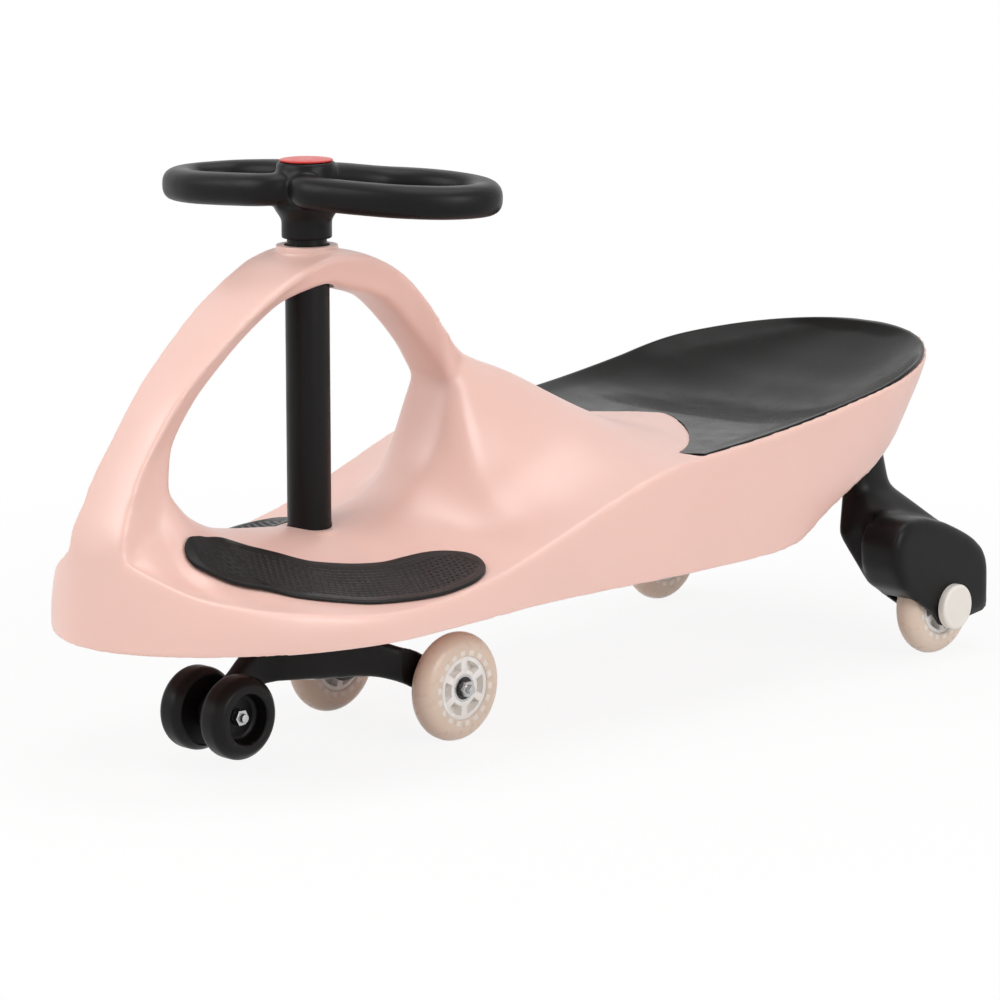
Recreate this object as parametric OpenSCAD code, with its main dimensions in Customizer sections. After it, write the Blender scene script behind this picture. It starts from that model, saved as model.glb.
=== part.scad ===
// Ride-on wiggle car: moulded body with an arch over the steering column, a swinging
// front bracket with two road wheels and two safety wheels, and two fixed rear legs.
// Millimetres, X forward, Y to the rider's left, Z up from the ground.

/* [Body] */
// Reach of the body from the steering axis to the nose
nose_reach = 202; // [195:1:215]
// Reach of the body from the steering axis to the tail
tail_reach = 605; // [595:1:625]
// Half width of the foot deck
deck_half = 131; // [126:1:138]
// Half width of the seat rim
seat_half = 128; // [124:1:132]
// Height of the hem above the ground
hem_z = 101; // [98:1:106]
// Height of the foot deck at the steering column
deck_z = 154; // [150:1:158]
// Height of the crown of the arch
arch_z = 342; // [336:1:350]
// Height of the seat rim at the tail
tail_rim_z = 228; // [222:1:236]
// Wall thickness of the moulded shell
wall = 4.5; // [3.5:0.5:6]
// Length of the pink tongue that reaches back into the seat
tongue_l = 118; // [110:1:126]

/* [Pads] */
// Thickness of the seat pad
seat_pad_t = 4; // [3:0.5:5]
// Thickness of the foot pads
foot_pad_t = 3; // [2:0.5:4]
// Height of the body lip above the seat pad's pocket
seat_lip = 4; // [3:0.5:6]

/* [Road wheels] */
// Diameter of the front and rear road wheels
wheel_d = 76; // [70:1:80]
// Width of a road wheel's tyre
tyre_w = 20; // [18:1:22]
// Diameter of a road wheel's hub rim
hub_d = 44; // [40:1:48]
// Width of a road wheel's hub
hub_w = 18; // [16:1:19]
// Distance from the front axle back to the rear axle
wheelbase = 437; // [425:1:450]
// Distance of the front axle behind the steering axis
front_trail = 78.5; // [74:0.5:84]
// Half the front track, to the middle of a tyre
front_half_track = 61; // [60:0.5:64]
// Half the rear track, to the middle of a tyre
rear_half_track = 136; // [134:0.5:140]

/* [Axles and bearings] */
// Diameter of the axle bolts
axle_d = 6; // [5:0.5:8]
// Width of an axle nut across its flats
axle_nut_af = 10; // [9:0.5:13]
// Thickness of an axle nut
axle_nut_t = 5; // [4:0.5:6]
// Outer diameter of a wheel bearing
bearing_d = 19; // [17:0.5:22]
// Width of a wheel bearing
bearing_w = 6; // [5:0.5:7]

/* [Safety wheels] */
// Diameter of the safety wheels
safety_d = 57; // [52:1:60]
// Width of a safety wheel
safety_w = 22; // [20:1:24]
// Distance of the safety axle ahead of the steering axis
safety_lead = 86.5; // [82:0.5:92]
// Height of the safety axle above the ground
safety_z = 39; // [36:0.5:42]

/* [Steering] */
// Diameter of the steering column
column_d = 30; // [28:0.5:32]
// Diameter of the column's neck inside the steering wheel
neck_d = 27; // [24:0.5:28]
// Height of the middle of the steering wheel's rim
rim_z = 382; // [380:0.5:388]
// Width of the steering wheel's rim section
rim_w = 23; // [20:1:26]
// Height of the steering wheel's rim section
rim_h = 22; // [20:1:25]
// Half length of a rim loop, along the wheel's long axis
loop_half_l = 55; // [52:1:58]
// Half depth of a rim loop, front to back
loop_half_d = 45; // [40:1:50]
// Angle at which the steering wheel is clamped on the column
wheel_set = 14; // [0:1:30]
// Diameter of the cap in the middle of the steering wheel
cap_d = 36; // [34:1:40]

/* [Fits] */
// Radial clearance of a turning fit
run_fit = 0.05; // [0.03:0.01:0.1]
// Gap between pieces that lie against each other
lay_gap = 0.4; // [0.3:0.05:0.6]

/* [Hidden] */
$fn = 64;

pink = "#f0cbc0";
charcoal = "#4a4644";
black = "#1f1c1b";
tyre_colour = "#cfb6a2";
hub_colour = "#e9e2dc";
steel = "#b9bcc0";
nylon = "#e8e4da";
red = "#e0352f";
cream = "#eee6da";

// Places along X
column_x = (tail_reach - nose_reach) / 2;
nose_x = column_x + nose_reach;
tail_x = column_x - tail_reach;
front_x = column_x - front_trail;
rear_x = front_x - wheelbase;
safety_x = column_x + safety_lead;
axle_z = wheel_d / 2;

// Smooth curve through [x, value] points that rise in x, with no overshoot
function secant(p, i) = (p[i + 1][1] - p[i][1]) / (p[i + 1][0] - p[i][0]);
function tangent(p, i) =
    i == 0 ? secant(p, 0)
    : i == len(p) - 1 ? secant(p, i - 1)
    : secant(p, i - 1) * secant(p, i) <= 0 ? 0
    : 2 * secant(p, i - 1) * secant(p, i) / (secant(p, i - 1) + secant(p, i));
function span(p, x, i = 0) = i >= len(p) - 2 || x < p[i + 1][0] ? i : span(p, x, i + 1);
function hermite(p, x, i, w, u) =
    p[i][1] * (2 * u ^ 3 - 3 * u ^ 2 + 1) + p[i + 1][1] * (3 * u ^ 2 - 2 * u ^ 3)
    + w * (tangent(p, i) * (u ^ 3 - 2 * u ^ 2 + u) + tangent(p, i + 1) * (u ^ 3 - u ^ 2));
function curve(p, x) =
    x <= p[0][0] ? p[0][1]
    : x >= p[len(p) - 1][0] ? p[len(p) - 1][1]
    : let (i = span(p, x), w = p[i + 1][0] - p[i][0]) hermite(p, x, i, w, (x - p[i][0]) / w);
function ease(u) = let (v = min(1, max(0, u))) v * v * (3 - 2 * v);

// Plan of the body: half an oval at the nose, half an oval at the tail, a slight waist between
nose_lean = 5;
nose_tip_x = nose_x - nose_lean;
nose_oval_x = column_x + 30;
tail_oval_x = tail_x + 144;
waist = [
    [tail_oval_x, seat_half], [column_x - 345, seat_half + 2], [column_x - 270, seat_half + 4],
    [column_x - 110, deck_half - 6], [nose_oval_x, deck_half]
];
nose_power = 1.85;
function oval(u, power = 2) = max(0, 1 - abs(u) ^ power) ^ (1 / power);
function edge_y(x) =
    x > nose_oval_x ? deck_half * oval((x - nose_oval_x) / (nose_tip_x - nose_oval_x), nose_power)
    : x < tail_oval_x ? seat_half * oval((tail_oval_x - x) / (tail_oval_x - tail_x))
    : curve(waist, x);

// Height of the body's upper edge, from the tail along the seat rim and the deck to the nose
edge_line = [
    [tail_x, tail_rim_z], [tail_x + 64, tail_rim_z - 9.5], [tail_x + 95, tail_rim_z - 14],
    [tail_x + 154, tail_rim_z - 24], [tail_x + 259, tail_rim_z - 36], [column_x - 235, deck_z + 30.5],
    [column_x - 209, deck_z + 22], [column_x - 172, deck_z + 10], [column_x - 113, deck_z - 9.5],
    [column_x - 82, deck_z - 18.5], [column_x - 50, deck_z - 26], [column_x, deck_z - 32.5],
    [column_x + 45, deck_z - 33.5], [column_x + 74, deck_z - 31.5], [column_x + 104, deck_z - 28],
    [column_x + 131, deck_z - 24], [nose_x - 54, deck_z - 20], [nose_x - 38, deck_z - 15],
    [nose_x - 26, deck_z - 8], [nose_x - 18, deck_z - 1.5], [nose_x - 12, deck_z + 5.5],
    [nose_x - 10, deck_z + 11.5], [nose_x - 8.7, deck_z + 18], [nose_tip_x, deck_z + 12]
];
function edge_z(x) = curve(edge_line, x);

// Height of the hem: level under the deck, sweeping up below the seat
hem_line = [
    [tail_x, hem_z + 97], [tail_x + 29, hem_z + 90], [tail_x + 64, hem_z + 78],
    [tail_x + 81, hem_z + 69], [tail_x + 109, hem_z + 54], [tail_x + 197, hem_z + 20],
    [tail_x + 240, hem_z + 2], [tail_x + 275, hem_z], [nose_x, hem_z]
];
function hem_height(x) = curve(hem_line, x);
// Width of the hem as a share of the upper edge's: tucked in at the tail, flared at the deck
hem_flare = [
    [tail_x, 0.84], [tail_x + 110, 0.88], [tail_x + 200, 0.95], [tail_x + 290, 1.0],
    [column_x - 100, 1.0], [column_x + 30, 1.0], [nose_x, 1.005]
];
function hem_y(x) = edge_y(x) * curve(hem_flare, x);
// The skirt leans back from the hem at the nose, and the hem is drawn forward under the tail
function hem_x(x) =
    x + 16 * ease((tail_oval_x - x) / (tail_oval_x - tail_x))
    + nose_lean * ease((x - nose_oval_x) / (nose_tip_x - nose_oval_x));

// Height of the upper surface along the middle, and how far that height spreads sideways
crest_line = [
    [tail_x, tail_rim_z], [column_x - 318, deck_z + 38], [column_x - 275, deck_z + 50],
    [column_x - 230, deck_z + 67], [column_x - 180, deck_z + 88], [column_x - 156, deck_z + 97],
    [column_x - 137, deck_z + 105], [column_x - 124, deck_z + 111], [column_x - 114, deck_z + 109],
    [column_x - 105, deck_z + 95], [column_x - 95, deck_z + 70], [column_x - 86, deck_z + 48],
    [column_x - 71, deck_z + 27], [column_x - 45, deck_z + 11],
    [column_x - 20, deck_z + 4], [column_x, deck_z], [column_x + 35, deck_z + 3],
    [column_x + 84, deck_z + 10], [column_x + 102, deck_z + 16], [column_x + 119, deck_z + 26],
    [column_x + 132, deck_z + 41], [column_x + 142, deck_z + 56], [column_x + 152, deck_z + 62],
    [nose_x - 41, deck_z + 60], [nose_x - 26, deck_z + 48], [nose_x - 13, deck_z + 28],
    [nose_tip_x, deck_z + 13]
];
function crest_z(x) = curve(crest_line, x);
crest_spread = [
    [column_x - 300, 0.62], [column_x - 237, 0.52], [column_x - 188, 0.42], [column_x - 155, 0.36],
    [column_x - 120, 0.3], [column_x - 96, 0.31], [column_x - 66, 0.4], [column_x - 25, 0.5],
    [column_x + 50, 0.53], [column_x + 105, 0.56], [column_x + 125, 0.43], [column_x + 148, 0.33],
    [nose_x - 49, 0.3], [nose_x - 24, 0.42], [nose_tip_x, 0.5]
];
// The ridge is fuller where the arch lands on it
crest_power = [
    [column_x - 230, 2.2], [column_x - 165, 2.6], [column_x - 125, 3.4], [column_x - 100, 3.2],
    [column_x - 70, 2.4], [column_x - 40, 2.2]
];
// Bell shape that is 1 in the middle and 0 at the edge
function bell(t, s, k) =
    let (end = 1 / (1 + (1 / s) ^ k)) (1 / (1 + (abs(t) / s) ^ k) - end) / (1 - end);
function deck_height(x, t) =
    edge_z(x) + (crest_z(x) - edge_z(x)) * bell(t, curve(crest_spread, x), curve(crest_power, x));

// Dished seat: depth along the middle, below the lip of the rim
dish_line = [
    [tail_x, 0], [tail_x + 15, 6], [tail_x + 49, 16], [tail_x + 89, 24], [tail_x + 129, 27],
    [tail_x + 179, 25], [tail_x + 227, 20], [tail_x + 279, 14], [tail_x + 339, 6], [tail_x + 400, 2]
];
pocket_t = 0.955;
lip_w = wall + 1.5;
function dish_height(x, t) =
    edge_z(x) - seat_lip - curve(dish_line, x) * (1 - min(1, abs(t) / pocket_t) ^ 2.6);
// Half width of the pocket, which keeps an even lip round the tail
function pocket_y(x) =
    x < tail_oval_x ? seat_half * pocket_t * oval((tail_oval_x - x) / (tail_oval_x - tail_x - lip_w))
    : edge_y(x) * pocket_t;
function seat_t(x, y) = pocket_t * y / pocket_y(x);

// Stations along the body. Each crosses it from edge to edge, and those about the seat's
// front bow back in the middle round the tongue: [x at the edge, x in the middle, zone].
// Zone 0 is deck, 1 blends the deck into the seat, 2 is the seat's pocket, 3 the lip at the tail.
seat_front = column_x - 256;
blend_front = column_x - 174;
nose_steps = [for (a = [4.64, 8.5, 12.5, 17, 23, 30, 37, 44, 51, 58, 64]) nose_oval_x + (nose_tip_x - nose_oval_x) * cos(a)];
deck_steps = [
    for (d = [91, 78, 63, 46, 28, 10, -8, -26, -42, -56, -68, -78, -88, -97, -107, -119, -132, -146, -160])
        column_x + d
];
blend_steps = 6;
seat_steps = 14;
stations = concat(
    [for (x = nose_steps) [x, x, 0]],
    [for (x = deck_steps) [x, x, 0]],
    [for (k = [0 : blend_steps])
        let (u = k / blend_steps, x = blend_front + (seat_front - blend_front) * u)
        [x, x - tongue_l * ease(u), 1]],
    [for (k = [0 : seat_steps])
        let (u = sin(90 * k / seat_steps), end = tail_x + lip_w + 0.6, x = seat_front - 1)
        [x + (end - x) * u, x - tongue_l + (end - x + tongue_l) * u, 2]],
    [for (d = [lip_w - 0.8, 2.5, 0.6]) [tail_x + d, tail_x + d, 3]]
);
tongue_half = 0.86;
function bow(t) = 1 - min(1, abs(t) / tongue_half) ^ 1.4;
function station_x(s, t) = s[0] + (s[1] - s[0]) * bow(t);
function blend(s) = s[2] == 0 ? 0 : s[2] == 2 ? 1 : ease((blend_front - s[0]) / (blend_front - seat_front)) ^ 2;
function surface_z(s, t, lip = true) =
    let (x = station_x(s, t))
    s[2] == 3 ? edge_z(x) - (lip ? 0 : seat_lip)
    : s[2] == 2 ? (abs(t) > pocket_t + 0.01 ? edge_z(x) - (lip ? 0 : seat_lip) : dish_height(x, t))
    : s[2] == 0 ? deck_height(x, t)
    : let (b = blend(s), level = min(edge_z(x), dish_height(x, t) + seat_pad_t + 1.2))
        deck_height(x, t) * (1 - b) + level * b;

// Distance from the middle at a share t of the half width
function across(s, t) =
    let (x = station_x(s, t), p = pocket_y(x), e = edge_y(x), a = abs(t))
    s[2] != 2 ? t * e
    : sign(t) * (a <= pocket_t ? p * a / pocket_t : p + (e - p) * (a - pocket_t) / (1 - pocket_t));
// Section points across a station: hem, skirt and upper surface on both sides
half_t = [1, 0.975, 0.955, 0.9, 0.81, 0.7, 0.58, 0.46, 0.35, 0.25, 0.16, 0.08];
cross_t = concat([for (t = half_t) -t], [0], [for (i = [len(half_t) - 1 : -1 : 0]) half_t[i]]);
skirt_u = [0, 0.33, 0.67];
skirt_bulge = 2;
function skirt_point(s, side, u) =
    let (x = s[0], swell = skirt_bulge * sin(180 * u))
    [hem_x(x) + (x - hem_x(x)) * u,
     side * (hem_y(x) + (edge_y(x) - hem_y(x)) * u + swell * min(1, edge_y(x) / 40)),
     hem_height(x) + (edge_z(x) - hem_height(x)) * u];
function section(s, lip = true) = concat(
    [for (u = skirt_u) skirt_point(s, -1, u)],
    [for (t = cross_t) [station_x(s, t), across(s, t), surface_z(s, t, lip)]],
    [for (i = [len(skirt_u) - 1 : -1 : 0]) skirt_point(s, 1, skirt_u[i])]
);
// The inside face: the same section without the lip, drawn in by the wall, down to the same hem
function inner_point(p, i, n) =
    let (rim = i == 0 || i == n - 1)
    [p[0] * (1 - wall / nose_x), p[1] * (1 - wall / deck_half), rim ? p[2] : p[2] - wall];

// Shell between an outer and an inner face, closed along the hem and at both ends
module shell_loft(sections, linings) {
    m = len(sections);
    n = len(sections[0]);
    points = concat(
        [for (s = sections) for (p = s) p],
        [for (s = linings) for (i = [0 : n - 1]) inner_point(s[i], i, n)]
    );
    function out(j, i) = j * n + i;
    function inn(j, i) = m * n + j * n + i;
    function quad(a, b, c, d) = [[a, b, c], [a, c, d]];
    skin = [for (j = [0 : m - 2]) for (i = [0 : n - 2])
        for (f = quad(out(j, i), out(j + 1, i), out(j + 1, i + 1), out(j, i + 1))) f];
    lining = [for (j = [0 : m - 2]) for (i = [0 : n - 2])
        for (f = quad(inn(j, i), inn(j, i + 1), inn(j + 1, i + 1), inn(j + 1, i))) f];
    hems = [for (j = [0 : m - 2]) for (f = concat(
        quad(out(j, 0), inn(j, 0), inn(j + 1, 0), out(j + 1, 0)),
        quad(out(j, n - 1), out(j + 1, n - 1), inn(j + 1, n - 1), inn(j, n - 1)))) f];
    half = (n - 1) / 2;
    front = [for (i = [0 : half - 1]) for (f = concat(
        i == half - 1 ? [[out(0, i), out(0, i + 1), out(0, n - 1 - i)]]
            : quad(out(0, i), out(0, i + 1), out(0, n - 2 - i), out(0, n - 1 - i)),
        i == half - 1 ? [[inn(0, i), inn(0, n - 1 - i), inn(0, i + 1)]]
            : quad(inn(0, i), inn(0, n - 1 - i), inn(0, n - 2 - i), inn(0, i + 1)))) f];
    e = m - 1;
    back = [for (i = [0 : half - 1]) for (f = concat(
        i == half - 1 ? [[out(e, i), out(e, n - 1 - i), out(e, i + 1)]]
            : quad(out(e, i), out(e, n - 1 - i), out(e, n - 2 - i), out(e, i + 1)),
        i == half - 1 ? [[inn(e, i), inn(e, i + 1), inn(e, n - 1 - i)]]
            : quad(inn(e, i), inn(e, i + 1), inn(e, n - 2 - i), inn(e, n - 1 - i)))) f];
    lips = concat(
        quad(out(0, 0), out(0, n - 1), inn(0, n - 1), inn(0, 0)),
        quad(out(e, 0), inn(e, 0), inn(e, n - 1), out(e, n - 1)));
    polyhedron(points, concat(skin, lining, hems, front, back, lips), convexity = 8);
}

// Arch over the column, from the nose to the spine:
// [outer x, outer z, inner x, inner z, outer half width, inner half width, crown]
arch_rows = [
    [nose_x - 14, deck_z - 20, nose_x - 62, deck_z - 14, 17, 16, 2],
    [nose_x - 7.5, deck_z + 4, nose_x - 62, deck_z + 8, 18.5, 17, 2],
    [nose_x - 8.5, deck_z + 17, nose_x - 63, deck_z + 20, 20, 17, 2],
    [nose_x - 12, deck_z + 27, nose_x - 64, deck_z + 28, 19.5, 16, 2],
    [nose_x - 17, deck_z + 37, column_x + 137, deck_z + 37, 19, 15, 2],
    [nose_x - 28, deck_z + 58, column_x + 134, deck_z + 56, 18.5, 12.5, 2],
    [column_x + 160, deck_z + 77, column_x + 131, deck_z + 71, 19.5, 11, 2],
    [column_x + 135, arch_z - 80, column_x + 111, arch_z - 90, 22.5, 10, 2],
    [column_x + 101, arch_z - 50, column_x + 86, arch_z - 67, 25.5, 11, 2],
    [column_x + 75, arch_z - 31, column_x + 61, arch_z - 46.5, 28, 14, 2],
    [column_x + 47, arch_z - 15, column_x + 37, arch_z - 31, 30, 18, 2],
    [column_x + 24, arch_z - 5, column_x + 14, arch_z - 25, 31.5, 20, 2],
    [column_x, arch_z, column_x, arch_z - 23, 32, 21, 2],
    [column_x - 24, arch_z, column_x - 22, arch_z - 28, 32, 20, 2],
    [column_x - 46, arch_z - 9.5, column_x - 54, arch_z - 38, 29.5, 18, 2],
    [column_x - 68, arch_z - 22, column_x - 80, arch_z - 62, 28.5, 16, 2],
    [column_x - 87.5, arch_z - 40.5, column_x - 101.5, arch_z - 88, 28.5, 18, 2],
    [column_x - 105, arch_z - 62, column_x - 115, deck_z + 76, 27.5, 23, 3],
    [column_x - 122, arch_z - 78, column_x - 119, deck_z + 60, 22, 21, 4],
    [column_x - 139, arch_z - 86, column_x - 118, deck_z + 46, 13, 11, 3],
    [column_x - 158, arch_z - 95, column_x - 124, deck_z + 38, 6, 5, 1.5]
];
arch_steps = 32;
function arch_value(k, u) = curve([for (i = [0 : len(arch_rows) - 1]) [i, arch_rows[i][k]]], u);
function arch_row(j) = let (u = j * (len(arch_rows) - 1) / arch_steps) [for (k = [0 : 6]) arch_value(k, u)];
// Ring of the arch: crowned outer face, thin edges, and sides that draw in towards the eye
arch_edge = 4;
function arch_ring(row) =
    let (d = [row[0] - row[2], row[1] - row[3]], depth = norm(d), e = d / depth, w = row[4], v = row[5], c = row[6])
    [for (p = [
        [-w, -1], [-w * 0.6, c * 0.64], [0, c], [w * 0.6, c * 0.64], [w, -1],
        [w - 1, -arch_edge], [(w + v) / 2, -depth * 0.55], [v, 3 - depth], [v * 0.5, -depth],
        [-v * 0.5, -depth], [-v, 3 - depth], [-(w + v) / 2, -depth * 0.55], [1 - w, -arch_edge]
    ]) [row[0] + e[0] * p[1], p[0], row[1] + e[1] * p[1]]];
module arch() {
    rings = [for (j = [0 : arch_steps]) arch_ring(arch_row(j))];
    n = len(rings[0]);
    sides = [for (j = [0 : arch_steps - 1]) for (i = [0 : n - 1])
        let (a = j * n + i, b = j * n + (i + 1) % n, c = a + n, d = b + n)
        for (f = [[a, c, b], [b, c, d]]) f];
    ends = [[for (i = [0 : n - 1]) i], [for (i = [n - 1 : -1 : 0]) arch_steps * n + i]];
    polyhedron([for (r = rings) for (p = r) p], concat(sides, ends), convexity = 8);
}

// Column bushes and the bosses that hold them
bush_wall = 3;
bush_d = column_d + 2 * bush_wall;
boss_wall = 5;
boss_d = bush_d + 2 * boss_wall;
collar_d = bush_d + 5;
collar_top = arch_z + 4;
upper_bush_z = arch_z - 26;
bush_flange_t = 2.5;
thrust_t = 2;
bracket_top = hem_z - bush_flange_t - thrust_t;

// Rear legs: post inside the shell, fork round the wheel
leg_post_y = seat_half - 42;
leg_post_x = tail_x + 118;
leg_seat_z = hem_z + 70;
leg_flange = [52, 19, 6];
leg_screw_pitch = 44;
leg_screw_d = 4;

module column_boss() {
    translate([column_x, 0, hem_z]) cylinder(d = boss_d, h = deck_z - hem_z - 1);
    for (a = [45 : 90 : 315])
        translate([column_x, 0, hem_z]) rotate([0, 0, a])
            hull() {
                translate([boss_d / 2 - 1, -wall / 2, 18]) cube([1, wall, deck_z - hem_z - 32]);
                translate([boss_d / 2 + 32, -wall / 2, deck_z - hem_z - 24]) cube([1, wall, 10]);
            }
}
module leg_socket(side) {
    half = leg_flange[1] / 2;
    function top(x, y) = dish_height(x, seat_t(x, y)) - 2 - leg_seat_z;
    reach = leg_flange[0] / 2;
    for (k = [-1, 1])
        hull() for (x = [leg_post_x - 0.1, leg_post_x + k * reach])
            translate([x, side * leg_post_y, leg_seat_z])
                rotate([90, 0, 90]) linear_extrude(0.1)
                    polygon([
                        [-half, 0], [half, 0],
                        [half, top(x, side * leg_post_y + half)], [-half, top(x, side * leg_post_y - half)]
                    ]);
}
module body_shell() {
    color(pink)
        difference() {
            union() {
                shell_loft([for (s = stations) section(s)], [for (s = stations) section(s, false)]);
                arch();
                translate([column_x, 0, arch_z - 14]) cylinder(d = collar_d, h = collar_top - arch_z + 14);
                column_boss();
                for (side = [-1, 1]) leg_socket(side);
            }
            translate([column_x, 0, hem_z - 1]) cylinder(d = bush_d + 2 * run_fit, h = deck_z - hem_z + 8);
            translate([column_x, 0, upper_bush_z - 12])
                cylinder(d = bush_d + 2 * run_fit, h = collar_top - upper_bush_z + 24);
            for (side = [-1, 1]) for (k = [-1, 1])
                translate([leg_post_x + k * leg_screw_pitch / 2, side * leg_post_y, leg_seat_z - 1])
                    cylinder(d = leg_screw_d, h = 11.5);
        }
}

// Seat pad: fills the pocket inside the lip, cut round the tongue
pad_t = concat([-0.945], [for (t = cross_t) if (abs(t) < 0.94) t], [0.945]);
module seat_pad() {
    rows = [for (s = stations) if (s[2] == 2) s];
    m = len(rows) - 1;
    n = len(pad_t);
    inset = 0.6;
    function pad_x(s, t) = station_x(s, t) - (s == rows[0] ? inset : 0);
    function pad_point(s, t, lift) = let (x = pad_x(s, t)) [x, pocket_y(x) * t / pocket_t, dish_height(x, t) + lift];
    points = concat(
        [for (j = [0 : m - 1]) for (t = pad_t) pad_point(rows[j], t, seat_pad_t)],
        [for (j = [0 : m - 1]) for (t = pad_t) pad_point(rows[j], t, lay_gap)]
    );
    color(charcoal) plate_solid(points, m, n);
}
// Closed plate from a grid of upper points followed by a grid of lower points
module plate_solid(points, m, n) {
    function up(j, i) = j * n + i;
    function down(j, i) = m * n + j * n + i;
    function quad(a, b, c, d) = [[a, b, c], [a, c, d]];
    top = [for (j = [0 : m - 2]) for (i = [0 : n - 2])
        for (f = quad(up(j, i), up(j + 1, i), up(j + 1, i + 1), up(j, i + 1))) f];
    bottom = [for (j = [0 : m - 2]) for (i = [0 : n - 2])
        for (f = quad(down(j, i), down(j, i + 1), down(j + 1, i + 1), down(j + 1, i))) f];
    sides = [for (j = [0 : m - 2]) for (f = concat(
        quad(up(j, 0), down(j, 0), down(j + 1, 0), up(j + 1, 0)),
        quad(up(j, n - 1), up(j + 1, n - 1), down(j + 1, n - 1), down(j, n - 1)))) f];
    ends = [for (i = [0 : n - 2]) for (f = concat(
        quad(up(0, i), up(0, i + 1), down(0, i + 1), down(0, i)),
        quad(up(m - 1, i), down(m - 1, i), down(m - 1, i + 1), up(m - 1, i + 1)))) f];
    polyhedron(points, concat(top, bottom, sides, ends), convexity = 6);
}

// Foot pads: crescents along the deck, [along x, middle y, half width]
foot_rows = [
    [column_x + 146, 37, 3], [column_x + 134, 39, 7.5], [column_x + 118, 48, 16], [column_x + 95, 60.5, 29],
    [column_x + 72, 70.5, 30.5], [column_x + 48, 82, 29.5], [column_x + 13, 91, 29.5],
    [column_x - 14, 94.5, 28.5], [column_x - 34, 95.5, 27], [column_x - 50, 95, 22],
    [column_x - 60, 94, 13], [column_x - 64, 93, 5]
];
// Room under a foot pad, with a little more where the deck climbs to the nose
function foot_gap(x) = lay_gap + 0.3 + 1.6 * ease((x - column_x - 95) / 25);
foot_steps = 24;
foot_across = [-1, -0.7, -0.35, 0, 0.35, 0.7, 1];
function foot_value(k, u) = curve([for (i = [0 : len(foot_rows) - 1]) [i, foot_rows[i][k]]], u);
function body_top(x, y) = deck_height(x, min(1, abs(y) / edge_y(x)));
module foot_pad(side) {
    function spot(j, t) =
        let (u = j * (len(foot_rows) - 1) / foot_steps)
        [foot_value(0, u), side * (foot_value(1, u) + side * side * t * foot_value(2, u))];
    function grid(lift) = [for (j = [0 : foot_steps]) for (t = foot_across)
        let (p = spot(j, side * t)) [p[0], p[1], body_top(p[0], p[1]) + foot_gap(p[0]) + lift]];
    color(black) plate_solid(concat(grid(foot_pad_t), grid(0)), foot_steps + 1, len(foot_across));
}
module foot_pad_left() { foot_pad(1); }
module foot_pad_right() { foot_pad(-1); }

// Nylon bushes
module bush(z, h, flange) {
    color(nylon)
        translate([column_x, 0, z])
            difference() {
                union() {
                    cylinder(d = bush_d, h = h);
                    if (flange > 0) translate([0, 0, -flange]) cylinder(d = boss_d, h = flange);
                }
                translate([0, 0, -flange - 1]) cylinder(d = column_d + 2 * run_fit, h = h + flange + 2);
            }
}
module upper_bush() { bush(upper_bush_z, collar_top - upper_bush_z - 2, 0); }
module lower_bush() { bush(hem_z, deck_z - hem_z - 2, bush_flange_t); }

// Rear legs
leg_wall_in = 7;
leg_wall_out = 6.5;
leg_side_gap = 1.5;
well_in = rear_half_track - tyre_w / 2 - leg_side_gap - 1;
well_out = rear_half_track + tyre_w / 2 + leg_side_gap;
leg_out = well_out + leg_wall_out;
leg_in = well_in - leg_wall_in;
well_r = axle_z + 4;
axle_boss_d = 34;

// Outline of the mudguard, seen from the side, about the axle
guard_outline = [
    [-47, -6], [-47, 22], [-45, 31], [-40, 39], [-31, 46.5], [-20, 53], [4, 64], [28, 71], [50, 72], [62, 66],
    [68, 54], [66, 37], [56, 20], [42, 11], [19, -3], [9, -14], [-9, -14], [-24, -12], [-41, -10]
];
module guard_slice(y, t) {
    translate([rear_x, y + t, axle_z]) rotate([90, 0, 0]) linear_extrude(t) polygon(guard_outline);
}
module leg_oval(l, w) {
    linear_extrude(1) hull() for (i = [-1, 1]) translate([i * (l - w) / 2, 0]) circle(d = w, $fn = 24);
}
module leg_shape() {
    post_h = leg_seat_z - leg_flange[2];
    guard_slice(leg_in, leg_out - leg_in);
    hull() {
        translate([leg_post_x - 1, leg_post_y, post_h]) leg_oval(32, 24);
        translate([leg_post_x - 7, leg_post_y + 1, hem_z + 22]) leg_oval(42, 26);
    }
    hull() {
        translate([leg_post_x - 7, leg_post_y + 1, hem_z + 22]) leg_oval(42, 26);
        translate([rear_x + 36, leg_post_y + 13, axle_z + 56]) leg_oval(56, 18);
        translate([rear_x + 26, leg_in, axle_z + 62]) cube([40, 1, 8], center = true);
        translate([rear_x + 40, leg_in, axle_z + 22]) cube([30, 1, 8], center = true);
        translate([rear_x + 6, leg_out - 12, axle_z + 52]) cube([40, 1, 8], center = true);
    }
    translate([leg_post_x, leg_post_y, leg_seat_z - leg_flange[2] / 2]) cube(leg_flange, center = true);
}
module rear_leg() {
    color(black)
        difference() {
            leg_shape();
            translate([rear_x, well_out, axle_z]) rotate([90, 0, 0]) cylinder(r = well_r, h = well_out - well_in);
            translate([rear_x - well_r - 20, well_in, axle_z - 60]) cube([2 * well_r + 8, well_out - well_in, 60]);
            translate([rear_x, leg_out + 1, axle_z]) rotate([90, 0, 0]) cylinder(d = axle_d, h = leg_out - leg_in + 2);
            for (k = [-1, 1])
                translate([leg_post_x + k * leg_screw_pitch / 2, leg_post_y, leg_seat_z - leg_flange[2] - 1])
                    cylinder(d = leg_screw_d, h = leg_flange[2] + 2);
        }
}
module rear_leg_left() { rear_leg(); }
module rear_leg_right() { mirror([0, 1, 0]) rear_leg(); }
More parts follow.
